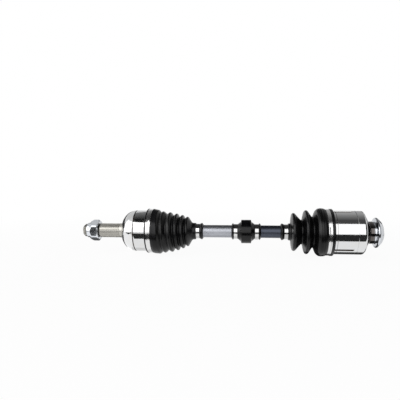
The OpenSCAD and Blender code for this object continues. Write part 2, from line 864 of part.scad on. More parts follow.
module inner_housing() {
    color("silver")
        difference() {
            turned(concat([[mouth_x, 0], [mouth_x, housing_r - 2 * edge], [mouth_x + 2 * edge, housing_r]],
                score(inner_boot_x + front_score), score(bottom_x - rear_score),
                bellows([[bottom_x + edge, housing_r, rear_round, 1], [neck_x + neck_fillet, neck_r, neck_fillet, -1]],
                    0, 0, 0),
                [[hub_x, neck_r], [hub_x + edge / 2, hub_r], [end_x - 1.6 * edge, hub_r], [end_x, hub_r - 1.6 * edge],
                [end_x, 0]]));
            along_x(mouth_x - past, bottom_x - mouth_x + past)
                hollow_section();
            turned([[mouth_x - past, 0], [mouth_x - past, mouth_core_r], [mouth_x, mouth_core_r],
                [mouth_x + mouth_flare_l, core_r - past], [mouth_x + mouth_flare_l, 0]]);
            for (a = [0:120:240])
                rotate([a + 30 - slot_turn, 0, 0])
                    slot();
            rod(plug_d / 2, bottom_x - past, plug_l + past);
            rod(bore_d / 2, bottom_x, end_x - bottom_x + past);
            splined(bore_teeth, bore_d / 2 + bore_tooth_h, bore_tooth_h + edge / 2, bottom_x,
                end_x - bottom_x - bore_mouth_l / 2);
            rod(bore_mouth_d / 2, end_x - bore_mouth_l, bore_mouth_l + past);
            turned([[end_x + past, 0], [end_x + past, bore_mouth_d / 2 + edge + past],
                [end_x - edge, bore_mouth_d / 2], [end_x - edge, 0]]);
        }
}

// A long slot at the top of the housing, from under the boot's lip to a round end
module slot() {
    under_boot = 4;
    from = inner_boot_x - under_boot;
    middle = bottom_x - rear_score - slot_end - slot_w / 2;
    translate([0, 0, housing_r - slot_h])
        linear_extrude(slot_h + past) {
            translate([from, -slot_w / 2])
                square([middle - from, slot_w]);
            translate([middle, 0])
                circle(d = slot_w);
        }
}

module bore_plug() {
    color("gray")
        turned([[bottom_x, 0], [bottom_x, plug_d / 2 - seat_gap], [bottom_x + plug_l - seat_gap, plug_d / 2 - seat_gap],
            [bottom_x + plug_l - seat_gap, plug_d / 2 - plug_wall], [bottom_x + plug_wall, plug_d / 2 - plug_wall],
            [bottom_x + plug_wall, 0]]);
}

// A roof-shaped ring of sheet: it leaves the hub, bends out to the rim and comes back to the hub's end
module dust_shield() {
    root_r = hub_r + seat_gap;
    t = shield_wall;
    root_fold = 1.2;
    rim_fold = 2.4;
    end_fold = 1.6;
    start = hub_x + edge / 2 + seat_gap;
    finish = end_x - 1.6 * edge;
    folds = [[start + 2, root_r + t, root_fold, -1], [start + shield_l * 0.65, shield_d / 2, rim_fold, 1],
        [finish - end_fold, root_r + end_fold + edge, end_fold, 1]];
    color("gainsboro")
        turned(concat([[start, root_r], [start, root_r + t]], bellows(folds, 0, 0, -90),
            [[finish, root_r], [finish - t, root_r]], reversed(bellows(folds, t, 0, -90))));
}

axle_bar();
inner_race();
race_circlip();
ball_cage();
cage_balls();
top_ball();
outer_bell();
hub_nut();
outer_boot();
outer_large_band();
outer_small_band();
damper_rubber();
damper_weight();
damper_left_band();
damper_right_band();
inner_boot();
inner_small_band();
inner_large_band();
tripod_spider();
spider_circlip();
needles_1();
needles_2();
needles_3();
roller_1();
roller_2();
roller_3();
roller_washers();
roller_clips();
inner_housing();
bore_plug();
dust_shield();
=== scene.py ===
"""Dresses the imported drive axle: rubber boots, steel bands, polished forgings, bar, damper and a plain studio."""

import math

import bmesh
import bpy
import numpy as np
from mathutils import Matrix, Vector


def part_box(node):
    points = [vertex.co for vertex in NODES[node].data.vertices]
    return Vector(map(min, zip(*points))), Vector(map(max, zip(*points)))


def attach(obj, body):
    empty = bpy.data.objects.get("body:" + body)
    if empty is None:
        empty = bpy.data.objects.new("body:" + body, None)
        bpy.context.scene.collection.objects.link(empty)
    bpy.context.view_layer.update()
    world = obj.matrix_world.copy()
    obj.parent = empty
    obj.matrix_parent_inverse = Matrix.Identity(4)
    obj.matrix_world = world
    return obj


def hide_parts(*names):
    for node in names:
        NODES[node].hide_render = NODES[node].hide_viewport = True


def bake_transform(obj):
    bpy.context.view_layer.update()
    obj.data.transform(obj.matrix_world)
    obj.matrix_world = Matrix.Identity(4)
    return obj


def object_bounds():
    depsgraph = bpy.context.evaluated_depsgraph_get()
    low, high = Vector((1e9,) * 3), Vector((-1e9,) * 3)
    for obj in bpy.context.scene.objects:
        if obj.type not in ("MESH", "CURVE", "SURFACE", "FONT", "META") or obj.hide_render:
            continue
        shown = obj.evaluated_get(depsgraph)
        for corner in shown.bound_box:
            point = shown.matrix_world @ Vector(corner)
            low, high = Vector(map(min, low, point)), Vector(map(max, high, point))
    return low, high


bl_info = {
    "name": "Drive Axle",
    "version": (1, 0, 0),
    "blender": (4, 5, 0),
    "location": "3D View > Sidebar > Drive Axle",
    "description": "Builds the looks of a car's drive axle round its packed solids",
    "category": "Object",
}

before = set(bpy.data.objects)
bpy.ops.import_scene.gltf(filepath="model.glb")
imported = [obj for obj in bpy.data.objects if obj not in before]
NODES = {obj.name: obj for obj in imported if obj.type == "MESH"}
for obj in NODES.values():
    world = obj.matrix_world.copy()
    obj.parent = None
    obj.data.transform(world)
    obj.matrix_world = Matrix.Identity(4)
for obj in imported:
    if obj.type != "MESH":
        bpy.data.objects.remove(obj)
CAD_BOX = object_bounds()
MM = 0.001


def linear(code):
    """A colour written as sRGB hex, turned to linear light."""
    srgb = np.array([int(code[i:i + 2], 16) for i in (1, 3, 5)]) / 255
    return tuple(np.where(srgb <= 0.04045, srgb / 12.92, ((srgb + 0.055) / 1.055) ** 2.4))


def length(name, about, millimetres):
    """A length property, held in metres."""
    return bpy.props.FloatProperty(
        name=name, description=about, default=millimetres * MM, min=0, unit="LENGTH", precision=5)


def colour(name, about, code):
    """A colour property, held as linear light."""
    return bpy.props.FloatVectorProperty(
        name=name, description=about, default=linear(code), size=3, min=0, max=1, subtype="COLOR")


class AxleSizes(bpy.types.PropertyGroup):
    """Sizes of the pieces that are drawn again with finer shapes."""

    bar_radius: length("Bar radius", "Radius of the bare bar", 11.5)
    bell_radius: length("Bell radius", "Radius of the outer joint's bell", 38.5)
    housing_radius: length("Housing radius", "Radius of the inner joint's housing", 39.3)
    outer_wall: length("Outer boot wall", "Thickness of the outer boot", 2)
    inner_wall: length("Inner boot wall", "Thickness of the inner boot", 2.4)
    outer_grip: length("Outer grip radius", "Radius under the outer boot's large band", 40.44)
    inner_grip: length("Inner grip radius", "Radius under the inner boot's large band", 41.24)
    bar_grip: length("Bar grip radius", "Radius under every small band", 12.94)
    lip_rise: length("Lip height", "Height of the lips beside the bands", 1.3)
    band_wall: length("Band wall", "Thickness of a band's strip", 0.7)
    ear_height: length("Ear height", "Height of a band's pinched ear", 4)
    thread_pitch: length("Thread pitch", "Pitch of the hub nut's thread", 1.5)
    nut_flats: length("Nut flats", "Width across the flats of the hub nut", 36)
    groove_depth: length("Groove depth", "Depth of the groove round the bell", 1.6)
    slot_depth: length("Slot depth", "Depth of the long slots in the housing", 2)
    slot_width: length("Slot width", "Width of the long slots in the housing", 4.2)


class AxleColours(bpy.types.PropertyGroup):
    """Colours of the finishes, with the painted shade in the forgings' recesses and the painted highlights on the
    rubber.
    """

    rubber: colour("Boot rubber", "Black of the moulded boots", "#0b0b0c")
    # Grey dust in patches on the rubber, and also the colour of the painted highlights on its crests and lips.
    bloom: colour("Rubber bloom", "Grey dust on the rubber's crests", "#1c1c1f")
    damper: colour("Damper rubber", "Black of the damper", "#09090b")
    forging: colour("Polished forging", "Steel of the bell and the housing", "#c6c8cc")
    forging_shade: colour("Forging shade", "Darker clouds in the polished steel", "#c3c2be")
    # Painted shade: this dark colour is laid in the bell's groove and the housing's slots, where it stands in for the
    # shade in them.
    recess_shade: colour("Oiled recess", "Oil that dried in the groove and the slots", "#46362d")
    machined: colour("Machined stub", "Turned steel of the splined stub", "#9b9993")
    forged: colour("Forged skin", "Darker steel of the housing's rear cone and neck", "#54504e")
    zinc: colour("Zinc plate", "Plated nut and dust shield", "#cfd2d6")
    zinc_shade: colour("Zinc shade", "Greyer patches of the plating", "#a9acb1")
    strip: colour("Stainless strip", "Steel of the bands", "#cdced1")
    # The bar is drawn lighter on the wheel side and darker on the gearbox side.
    bar_bright: colour("Ground bar", "The bar's ground end", "#a2a4aa")
    bar_dark: colour("Blued bar", "The bar's blued end", "#474b55")
    bearing: colour("Bearing steel", "Ground steel inside the joints", "#b4b5b8")
    spring: colour("Spring steel", "Oiled clips and washers", "#57585c")
    cast: colour("Cast iron", "The weight in the damper", "#6a6a6b")
    floor: colour("Floor", "Pale floor under the axle", "#f4f4f4")


# Shapes. Everything below is worked out in millimetres, and goes into the mesh in metres.


def arc(centre, radius, first, last, count, gather=1.0):
    """Points on a circle about centre while the angle runs from first to last, in degrees.
    gather above 1 packs them towards first."""
    angle = np.radians(first + (last - first) * np.linspace(0, 1, count) ** gather)
    return np.stack([centre[0] + radius * np.cos(angle), centre[1] + radius * np.sin(angle)], axis=1)


def bellows(stations, inset, first, last, count=9):
    """Fold and valley arcs of a boot's outline, as one array before each apex and one after it.
    A station is (place, apex radius, fillet, 1 for a fold or -1 for a valley). Straight flanks are tangent
    to neighbouring fillets, and inset moves the outline inwards along its normal."""
    centres = [(s[0], s[1] - s[3] * s[2]) for s in stations]
    slopes = [first]
    for a, b, s, t in zip(centres, centres[1:], stations, stations[1:]):
        dx, dy = b[0] - a[0], b[1] - a[1]
        turn = math.asin((s[3] * s[2] - t[3] * t[2]) / math.hypot(dx, dy))
        slopes.append(math.degrees(math.atan2(dy, dx) - turn))
    slopes.append(last)
    gather = 1.5
    halves = []
    for c, s, a, b in zip(centres, stations, slopes, slopes[1:]):
        radius = s[3] * s[2] - inset
        before = arc(c, radius, 90, a + 90, count, gather)[::-1]
        after = arc(c, radius, 90, b + 90, count, gather)
        halves.append((before, after))
    return halves


def stretch(halves, start=None, end=None):
    """The bellows outline from the apex of station start to the apex of station end. None keeps the whole end."""
    points = []
    for i, (before, after) in enumerate(halves):
        if (start is None or i > start) and (end is None or i <= end):
            points.append(before)
        if (start is None or i >= start) and (end is None or i < end):
            points.append(after[1:] if points else after)
    return np.concatenate(points)


def densified(points, step):
    """The same outline with its straight runs cut into steps no longer than step."""
    points = np.asarray(points, float)
    out = [points[:1]]
    for a, b in zip(points, points[1:]):
        count = max(1, math.ceil(np.hypot(*(b - a)) / step))
        share = np.arange(1, count + 1)[:, None] / count
        out.append(a + (b - a) * share)
    return np.concatenate(out)


def rounded(points, radius, count=4):
    """The outline with each of its corners replaced by a small curve: a quadratic from one side to the other,
    starting radius away from the corner, or less where a side is short."""
    points = np.asarray(points, float)
    most = 0.45
    t = np.linspace(0, 1, count)[:, None]
    out = [points[:1]]
    for a, b, c in zip(points, points[1:], points[2:]):
        p = b + (a - b) * min(radius / np.hypot(*(b - a)), most)
        q = b + (c - b) * min(radius / np.hypot(*(c - b)), most)
        out.append((1 - t) ** 2 * p + 2 * t * (1 - t) * b + t ** 2 * q)
    out.append(points[-1:])
    return np.concatenate(out)


def polar(x, radius, sides):
    """A grid about X from its places x along the axis and a radius for each place and angle."""
    v = np.linspace(0, 2 * math.pi, sides, endpoint=False)
    x = np.broadcast_to(x, radius.shape)
    return np.stack([x, radius * np.cos(v), radius * np.sin(v)], axis=2)


def turned(outline, sides):
    """A surface of revolution about X: each outline point (x, r) becomes the ring (x, r cos v, r sin v)."""
    outline = np.asarray(outline, float)
    return polar(outline[:, :1], np.repeat(outline[:, 1:], sides, axis=1), sides)


def repeated(parts, sides):
    """Outline parts (x, r) joined and repeated round the axis: a grid of x, a grid of r, and a column that says
    which part each row is from."""
    outline = np.concatenate(parts)
    kind = np.concatenate([np.full((len(part), 1), i) for i, part in enumerate(parts)])
    return np.repeat(outline[:, :1], sides, axis=1), np.repeat(outline[:, 1:], sides, axis=1), kind


def carried(path, profile):
    """A closed profile of (across, out) carried along a path in the Y-Z plane: across runs along X,
    and out along the path's normal, which is its tangent turned by a quarter."""
    tangent = np.gradient(path, axis=0)
    tangent /= np.hypot(tangent[:, 0], tangent[:, 1])[:, None]
    normal = np.stack([tangent[:, 1], -tangent[:, 0]], axis=1)
    across = np.broadcast_to(profile[None, :, 0], (len(path), len(profile)))
    yz = path[:, None, :] + normal[:, None, :] * profile[None, :, 1:]
    return np.concatenate([across[:, :, None], yz], axis=2)


def quads(rows, columns, wrap_rows, wrap_columns):
    """Corner numbers of a grid's faces, closed across a seam where a direction wraps."""
    i = np.arange(rows if wrap_rows else rows - 1)
    j = np.arange(columns if wrap_columns else columns - 1)
    i, j = (a.ravel() for a in np.meshgrid(i, j, indexing="ij"))
    i2, j2 = (i + 1) % rows, (j + 1) % columns
    return np.stack([i * columns + j, i2 * columns + j, i2 * columns + j2, i * columns + j2], axis=1)


def mesh_of(name, shells, sharp):
    """One mesh from grid shells (points, wrap rows, wrap columns). Open ends are capped, doubled points at poles
    are merged, and each closed shell is turned so that its volume is positive and its faces point outwards."""
    build = bmesh.new()
    for grid, wrap_rows, wrap_columns in shells:
        faces = quads(*grid.shape[:2], wrap_rows, wrap_columns)
        points = grid.reshape(-1, 3)
        a, b, c, d = (points[faces[:, k]] for k in range(4))
        volume = np.einsum("ij,ij->", a, np.cross(b, c)) + np.einsum("ij,ij->", a, np.cross(c, d))
        if volume < 0:
            faces = faces[:, ::-1]
        shell = bpy.data.meshes.new(name + "_shell")
        shell.from_pydata(points * MM, [], faces.tolist())
        build.from_mesh(shell)
        bpy.data.meshes.remove(shell)
    bmesh.ops.remove_doubles(build, verts=build.verts, dist=2e-6)
    open_edges = [e for e in build.edges if e.is_boundary]
    if open_edges:
        bmesh.ops.holes_fill(build, edges=open_edges, sides=0)
    mesh = bpy.data.meshes.new(name)
    build.to_mesh(mesh)
    build.free()
    mesh.polygons.foreach_set("use_smooth", np.ones(len(mesh.polygons), bool))
    mesh.set_sharp_from_angle(angle=math.radians(sharp))
    mesh.update()
    return mesh


def piece(name, shells, slot, node, body=None, sharp=32):
    """A finished object at the origin: it takes a slot's finish, stands for a node's solids, and rides on a body
    where one is given."""
    obj = bpy.data.objects.new(name, mesh_of(name, shells, sharp))
    bpy.context.scene.collection.objects.link(obj)
    obj.data.materials.append(finish_of(slot))
    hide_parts(node)
    if body:
        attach(obj, body)
    return obj


# Materials


def fill(tree, node, inputs):
    """Links the inputs that are given a socket, and sets the others."""
    for socket, value in inputs.items():
        if isinstance(value, bpy.types.NodeSocket):
            tree.links.new(value, node.inputs[socket])
        else:
            node.inputs[socket].default_value = value


def add(tree, kind, inputs=None, **settings):
    """Adds a shader node with its settings, and fills or links the inputs that are given."""
    node = tree.nodes.new("ShaderNode" + kind)
    for key, value in settings.items():
        setattr(node, key, value)
    fill(tree, node, inputs or {})
    return node


def rgba(shade):
    """A colour property with full alpha."""
    return (*shade, 1)


def per_metre(millimetres):
    """Scale of a pattern whose features are this wide."""
    return 1 / (millimetres * MM)


def clouded(tree, place, size, detail, first, second):
    """Soft clouds about size mm wide, and two colours that they mix."""
    clouds = add(tree, "TexNoise", {"Vector": place, "Scale": per_metre(size), "Detail": detail,
                                    "Roughness": 0.55}).outputs["Fac"]
    return clouds, add(tree, "Mix", {0: clouds, 6: first, 7: second}, data_type="RGBA").outputs[2]


def streaked(tree, place, scale, strength, depth):
    """Streaks that are narrow along the axes with a large scale and long along the others, and their normals.
    depth is in metres."""
    drawn = add(tree, "Mapping", {"Vector": place, "Scale": scale}).outputs[0]
    lines = add(tree, "TexNoise", {"Vector": drawn, "Scale": 1.0, "Detail": 2.0}).outputs["Fac"]
    return lines, add(tree, "Bump", {"Height": lines, "Strength": strength, "Distance": depth}).outputs[0]


def grained(tree, place, size, strength, depth):
    """Normals of a fine grain about size mm wide. depth is in metres."""
    grain = add(tree, "TexNoise", {"Vector": place, "Scale": per_metre(size), "Detail": 2, "Roughness": 0.55})
    return add(tree, "Bump", {"Height": grain.outputs["Fac"], "Strength": strength, "Distance": depth}).outputs[0]


def edge_highlighted(tree, base, bright, start, full, most):
    """A colour with painted highlights on its convex edges: the share of the bright colour grows with the pointiness
    from start to full.
    """
    edge = add(tree, "NewGeometry").outputs["Pointiness"]
    share = add(tree, "MapRange", {"Value": edge, "From Min": start, "From Max": full, "To Max": most})
    return add(tree, "Mix", {0: share.outputs[0], 6: base, 7: bright}, data_type="RGBA").outputs[2]


def dressed(tree, shader, settings, tint, normal, source, low, high, start=0.3, full=0.7):
    """Gives a shader its settings, colour and normals, and a roughness from low to high while source goes from
    start to full."""
    rough = add(tree, "MapRange", {"Value": source, "From Min": start, "From Max": full, "To Min": low, "To Max": high})
    fill(tree, shader, {**settings, "Base Color": tint, "Roughness": rough.outputs[0], "Normal": normal})


METAL = {"Metallic": 1.0}
RUBBER = {"IOR": 1.5, "Specular IOR Level": 0.24}


def polished_forging(tree, shader, place, colours):
    """Forged steel, turned and polished: a near mirror with fine rings from the lathe and soft clouds."""
    clouds, finish = clouded(tree, place, 9, 3, rgba(colours.forging), rgba(colours.forging_shade))
    # Other finishes on the same forgings, and the painted shade in the groove and the slots, are found by their place
    # along X and their radius, in millimetres.
    along = add(tree, "SeparateXYZ", {0: place}).outputs["X"]
    flat = add(tree, "VectorMath", {0: place, 1: (0, 1, 1)}, operation="MULTIPLY").outputs["Vector"]
    radius = add(tree, "VectorMath", {0: flat}, operation="LENGTH").outputs["Value"]
    shades = {"machined": [(-260, -177.6, 0, 20)], "forged": [(258.5, 277.4, 18.2, 37)],
              "recess_shade": [(-153.5, -151.7, 36.6, 38.3), (203, 242, 36.8, 38.8)]}
    masks = {}
    for shade, zones in shades.items():
        mask = 0.0
        for zone in zones:
            start, end, low, high = (edge * MM for edge in zone)
            here = add(tree, "Math", {0: along, 1: (start + end) / 2, 2: (end - start) / 2}, operation="COMPARE")
            deep = add(tree, "Math", {0: radius, 1: (low + high) / 2, 2: (high - low) / 2}, operation="COMPARE")
            mask = add(tree, "Math", {0: here.outputs[0], 1: deep.outputs[0], 2: mask}, operation="MULTIPLY_ADD",
                       use_clamp=True).outputs[0]
        # Each zone's colour goes over the steel; in the groove and the slots it is painted shade.
        zone_colour = add(tree, "Mix", {0: mask, 6: finish, 7: rgba(getattr(colours, shade))}, data_type="RGBA")
        finish, masks[shade] = zone_colour.outputs[2], mask
    gloss = add(tree, "MapRange", {"Value": clouds, "From Min": 0.3, "From Max": 0.7, "To Min": 0.06, "To Max": 0.12})
    turned_steel = add(tree, "Mix", {0: masks["machined"], 2: gloss.outputs[0], 3: 0.3})
    rough = add(tree, "Mix", {0: masks["recess_shade"], 2: turned_steel.outputs[0], 3: 0.6})
    # Lathe rings about 0.1 mm apart are too fine to show, so they are drawn 0.7 mm apart.
    _, normal = streaked(tree, place, (per_metre(0.7), 12, 12), 0.03, 0.00002)
    # The edges of the mouth, the groove and the slots get painted highlights.
    finish = edge_highlighted(tree, finish, rgba(colours.strip), 0.53, 0.62, 0.7)
    fill(tree, shader, {**METAL, "Base Color": finish, "Roughness": rough.outputs[0], "Normal": normal})


def zinc_plate(tree, shader, place, colours):
    """Zinc plated steel: pale, a little cloudy, with a satin crystal bloom and painted highlights on its corners and
    edges.
    """
    clouds, tint = clouded(tree, place, 4, 4, rgba(colours.zinc), rgba(colours.zinc_shade))
    # Painted highlights on the corners and edges.
    tint = edge_highlighted(tree, tint, rgba(colours.strip), 0.52, 0.62, 0.8)
    # Crystals of about 0.05 mm are drawn 0.35 mm wide so that they show.
    dressed(tree, shader, METAL, tint, grained(tree, place, 0.35, 0.05, 0.00002), clouds, 0.1, 0.18)


def stainless_strip(tree, shader, place, colours):
    """Cold rolled stainless strip: bright, with rolling lines along the band."""
    # Rolling lines of about 0.05 mm are drawn 0.3 mm apart so that they show.
    lines, normal = streaked(tree, place, (per_metre(0.3), 60, 60), 0.1, 0.00002)
    tint = add(tree, "Mix", {0: lines, 6: rgba(colours.strip), 7: rgba(colours.forging_shade)}, data_type="RGBA")
    dressed(tree, shader, METAL, tint.outputs[2], normal, lines, 0.12, 0.24, 0, 1)


def drawn_bar_steel(tree, shader, place, colours):
    """Drawn bar: lighter on the wheel side, darker and bluer on the gearbox side, changing over under the damper."""
    along = add(tree, "SeparateXYZ", {0: place}).outputs["X"]
    side = add(tree, "MapRange", {"Value": along, "From Min": 0.05, "From Max": 0.056}).outputs[0]
    bright, dark = rgba(colours.bar_bright), rgba(colours.bar_dark)
    tint = add(tree, "Mix", {0: side, 6: bright, 7: dark}, data_type="RGBA").outputs[2]
    clouds, shade = clouded(tree, place, 6, 3, tint, dark)
    weak = add(tree, "Mix", {0: 0.25, 6: tint, 7: shade}, data_type="RGBA")
    # Drawing lines run along the bar, about 0.4 mm apart.
    _, normal = streaked(tree, place, (30, per_metre(0.4), per_metre(0.4)), 0.02, 0.00001)
    dressed(tree, shader, METAL, weak.outputs[2], normal, clouds, 0.38, 0.46)


def moulded_rubber(tree, shader, place, colours, base, low, high):
    """Moulded black rubber: satin, with a fine grain from the mould, a grey bloom in patches, and painted highlights on
    its crests and lips. Roughness runs from low to high."""
    bloom = rgba(colours.bloom)
    patches = add(tree, "TexNoise", {"Vector": place, "Scale": per_metre(11), "Detail": 4,
                                     "Roughness": 0.55}).outputs["Fac"]
    dust = add(tree, "MapRange", {"Value": patches, "From Min": 0.48, "From Max": 0.8, "To Max": 0.25}).outputs[0]
    tint = add(tree, "Mix", {0: dust, 6: rgba(getattr(colours, base)), 7: bloom}, data_type="RGBA").outputs[2]
    # Painted highlights on the crests and lips, in the grey of the bloom.
    tint = edge_highlighted(tree, tint, bloom, 0.51, 0.56, 0.6)
    # Mould grain of about 0.1 mm is drawn 0.5 mm wide so that it shows.
    dressed(tree, shader, RUBBER, tint, grained(tree, place, 0.5, 0.08, 0.00004), patches, low, high)


def plain_metal(tree, shader, place, colours, base, shade, low, high, grain):
    """A steel or iron inside the joints: clouded colour, roughness from low to high, and a grain of so many mm,
    which is drawn coarser than the real one so that it shows."""
    clouds, tint = clouded(tree, place, 5, 3, rgba(getattr(colours, base)), rgba(getattr(colours, shade)))
    dressed(tree, shader, METAL, tint, grained(tree, place, grain, 0.15, 0.00005), clouds, low, high, 0, 1)


# What each slot is made of: the function that draws it and the values that it takes
FINISHES = {
    "polished_forging": (polished_forging,),
    "zinc_plate": (zinc_plate,),
    "stainless_band": (stainless_strip,),
    "drawn_bar_steel": (drawn_bar_steel,),
    "boot_rubber": (moulded_rubber, "rubber", 0.25, 0.35),
    "damper_rubber": (moulded_rubber, "damper", 0.16, 0.26),
    "bearing_steel": (plain_metal, "bearing", "strip", 0.1, 0.22, 0.6),
    "spring_steel": (plain_metal, "spring", "bar_dark", 0.25, 0.4, 0.5),
    "cast_weight": (plain_metal, "cast", "spring", 0.5, 0.7, 0.8),
}


def finish_of(slot):
    """The material of a slot, made when it is first asked for. A slot that has none raises an error."""
    name = "axle_" + slot
    made = bpy.data.materials.get(name)
    if made is None:
        draw, *values = FINISHES[slot]
        made = bpy.data.materials.new(name)
        made.use_nodes = True
        tree = made.node_tree
        place = add(tree, "TexCoord").outputs["Object"]
        draw(tree, tree.nodes["Principled BSDF"], place, bpy.context.scene.axle_colours, *values)
    return made


# Pieces


BOOT_SIDES, BAND_SIDES, SHIELD_SIDES, DAMPER_SIDES = 192, 168, 256, 224
SEAT_GAP = 0.04  # between a piece and what it is pushed onto
LIP_EDGE = 0.5
SMALL_LIP = 6.6


def large_end(bore, grip, lip, grip_end, rise):
    """Outline of a boot's clamped mouth: bore, lip and the groove for the large band."""
    top = grip + rise
    return [[0, bore], [0, top - LIP_EDGE], [LIP_EDGE, top], [lip - 0.4, top], [lip, top - 0.4], [lip, grip],
            [grip_end, grip]]


def small_end(neck, neck_radius, end, grip, rise, bar):
    """Outline of a boot's clamped neck: a step down, the groove for the small band and a tapered lip."""
    lip = end - SMALL_LIP
    return [[neck - 1, neck_radius], [neck, neck_radius - 1], [neck, grip], [lip, grip], [lip, grip + 0.8],
            [end - SMALL_LIP * 0.5, grip + rise + 1.1], [end - SMALL_LIP * 0.3, grip + rise + 1], [end, bar + 0.8],
            [end, bar + SEAT_GAP]]


def boot_rings(stations, wall, cuts, mouth, tail):
    """Outlines (outside, inside) of a boot's rings: the bellows, cut at the apexes of the stations in cuts, with the
    mouth's outlines before the first ring and the tail's after the last."""
    sides = [bellows(stations, inset, 0, 0) for inset in (0, wall)]
    ends = [None, *cuts, None]
    rings = [[stretch(halves, *span) for halves in sides] for span in zip(ends, ends[1:])]
    rings[0] = [np.concatenate(pair) for pair in zip(mouth, rings[0])]
    rings[-1] = [np.concatenate(pair) for pair in zip(rings[-1], tail)]
    return rings


def boot_shell(outside, inside, place, direction):
    """A ring of rubber: the outside outline and back along the inside one, turned about X."""
    outline = np.concatenate([outside, inside[::-1]])
    outline[:, 0] = place + direction * outline[:, 0]
    return turned(outline, BOOT_SIDES)


def slumped(grid, start, end, sag, lean):
    """Soft folds that hang a little between their clamped ends: each point drops by sag and moves along X by lean
    times its depth below the axis, both times a bump that is nothing at start and end and full at a third."""
    share = np.clip((grid[:, :, 0] - start) / (end - start), 0, 1)
    bump = np.sin(math.pi * share ** 0.63)
    return grid + np.stack([-lean * grid[:, :, 2] * bump, np.zeros_like(bump), -sag * bump], axis=2)


def boot_pieces(node, grids, bodies, zones):
    """A boot's rings, each made into a piece of its own and baked where it stands. The bodies and the zones are not
    used.
    """
    for i, (grid, first, second, zone) in enumerate(zip(grids, bodies, bodies[1:], zones)):
        obj = piece(f"{node}_fold_{i + 1}", [(grid, True, True)], "boot_rubber", node)
        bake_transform(obj)


class AXLE_OT_outer_boot(bpy.types.Operator):
    """Small-fold boot of the wheel joint, in four rings that hang a little between its clamped ends."""

    bl_idname = "axle.outer_boot"
    bl_label = "Outer Boot"

    def execute(self, context):
        s = context.scene.axle_sizes
        place, total, lip, grip_end, neck = -131, 104.6, 2.1, 10.7, 91
        grip, rise, bar = s.outer_grip / MM, s.lip_rise / MM, s.bar_radius / MM
        bar_grip, bore, wall = s.bar_grip / MM, s.bell_radius / MM + SEAT_GAP, s.outer_wall / MM
        neck_radius = bar_grip + rise + 1.2
        ridge, crest, valley = grip + rise, 2.6, 1
        # A flat-topped hump, then folds whose spacing shrinks by the same share each time. Radii fall from 37 to 25.1
        # in the valleys, and from 38.9 to 27.7 at the crests.
        folds, first, lead, pitch, shrink = 5, 20.2, 9.2, 13, 0.89
        stations = [(3.5, ridge, crest, 1), (10.2, ridge - 0.4, crest, 1)]
        for k in range(folds):
            share = k / (folds - 1)
            at = first + pitch * (1 - shrink ** k) / (1 - shrink)
            step = pitch * shrink ** (k - 1) if k else lead
            stations += [(at - 0.48 * step, 37 - 11.9 * share, valley, -1), (at, 38.9 - 11.2 * share ** 1.35, crest, 1)]
        stations += [(neck - 4.2 - grip_end, neck_radius, 5, -1)]
        stations = [(grip_end + at, *rest) for at, *rest in stations]
        mouth = rounded(large_end(bore, grip, lip, grip_end, rise) + [[grip_end, ridge - 0.3]], 0.25)
        tail = rounded(small_end(neck, neck_radius, total, bar_grip, rise, bar), 0.5)
        rings = boot_rings(stations, wall, (2, 6, 10), (mouth, [[0.01, bore], [grip_end + 1.6, bore]]),
                           (tail, [[neck, bar + SEAT_GAP]]))
        hump_end, neck_start, sag, lean = -120.3, -40, 2.2, 0.068
        grids = [slumped(boot_shell(*ring, place, 1), hump_end, neck_start, sag, lean) for ring in rings]
        zones = [(-113.4, -104.5), (-104.5, -86), (-81.1, -65.6), (-60.5, -49)]
        boot_pieces("outer_boot", grids, ["outer_bell", "top_ball", "outer_cage", "outer_boot", "shaft"], zones)
        return {"FINISHED"}


class AXLE_OT_inner_boot(bpy.types.Operator):
    """Large-fold boot of the gearbox joint, in three rings."""

    bl_idname = "axle.inner_boot"
    bl_label = "Inner Boot"

    def execute(self, context):
        s = context.scene.axle_sizes
        place, total, lip, grip_end, neck = 206.5, 91.4, 5, 12, 77.8
        grip, rise, bar = s.inner_grip / MM, s.lip_rise / MM, s.bar_radius / MM
        bar_grip, bore, wall = s.bar_grip / MM, s.housing_radius / MM + SEAT_GAP, s.inner_wall / MM
        neck_radius = bar_grip + rise + 1.2
        shoulder, crest, valley = 43.6, 3.4, 2
        at = [grip_end + (neck - grip_end) * share for share in (0.131, 0.343, 0.508, 0.641, 0.848)]
        stations = [(at[0], shoulder, 9.5, 1), (at[1], 28.4, valley, -1), (at[2], 39.9, crest, 1),
                    (at[3], 22.3, valley, -1), (at[4], 34.7, crest, 1), (neck - 2.4, neck_radius, 2.4, -1)]
        rise_to_shoulder = [[grip_end, 41.8], [grip_end + 2, 42.9], [grip_end + 5, 43.5]]
        mouth = rounded(large_end(bore, grip, lip, grip_end, rise) + rise_to_shoulder, 1)
        tail = rounded(small_end(neck, neck_radius, total, bar_grip, rise, bar), 0.5)
        mouth_inside = [[0.01, bore], [grip_end + 2, bore], [grip_end + 2, shoulder - wall]]
        rings = boot_rings(stations, wall, (1, 2), (mouth, mouth_inside), (tail, [[neck, bar + SEAT_GAP]]))
        # Faint moulded rings round the shoulder, fading out towards both sides
        ripple, waves = 0.16, 4
        outside = densified(rings[0][0], 0.5)
        share = np.clip((outside[:, 0] - grip_end - 3) / (at[1] - grip_end - 6), 0, 1)
        outside[:, 1] += ripple * np.sin(waves * 2 * math.pi * share) * np.sin(math.pi * share) ** 0.5
        rings[0][0] = outside
        grids = [boot_shell(*ring, place, -1) for ring in rings]
        zones = [(194.4, 171.9), (171.9, 161.1), (161.1, 146)]
        boot_pieces("inner_boot", grids, ["inner_housing", "inner_boot", "needles_1", "shaft"], zones)
        return {"FINISHED"}


def strip_profile(x, width, low, high, groove=0.0):
    """A flat strip's section with rounded edges, and a shallow groove along its middle."""
    r = (high - low) * 0.45
    half = np.array([[0, high - groove], [width * 0.1, high - groove], [width * 0.14, high], [width / 2 - r, high],
                     [width / 2, high - r], [width / 2, low + r], [width / 2 - r, low]])
    other = half[::-1] * [-1, 1]
    return np.concatenate([half, other[:-1]]) + [x + width / 2, 0]


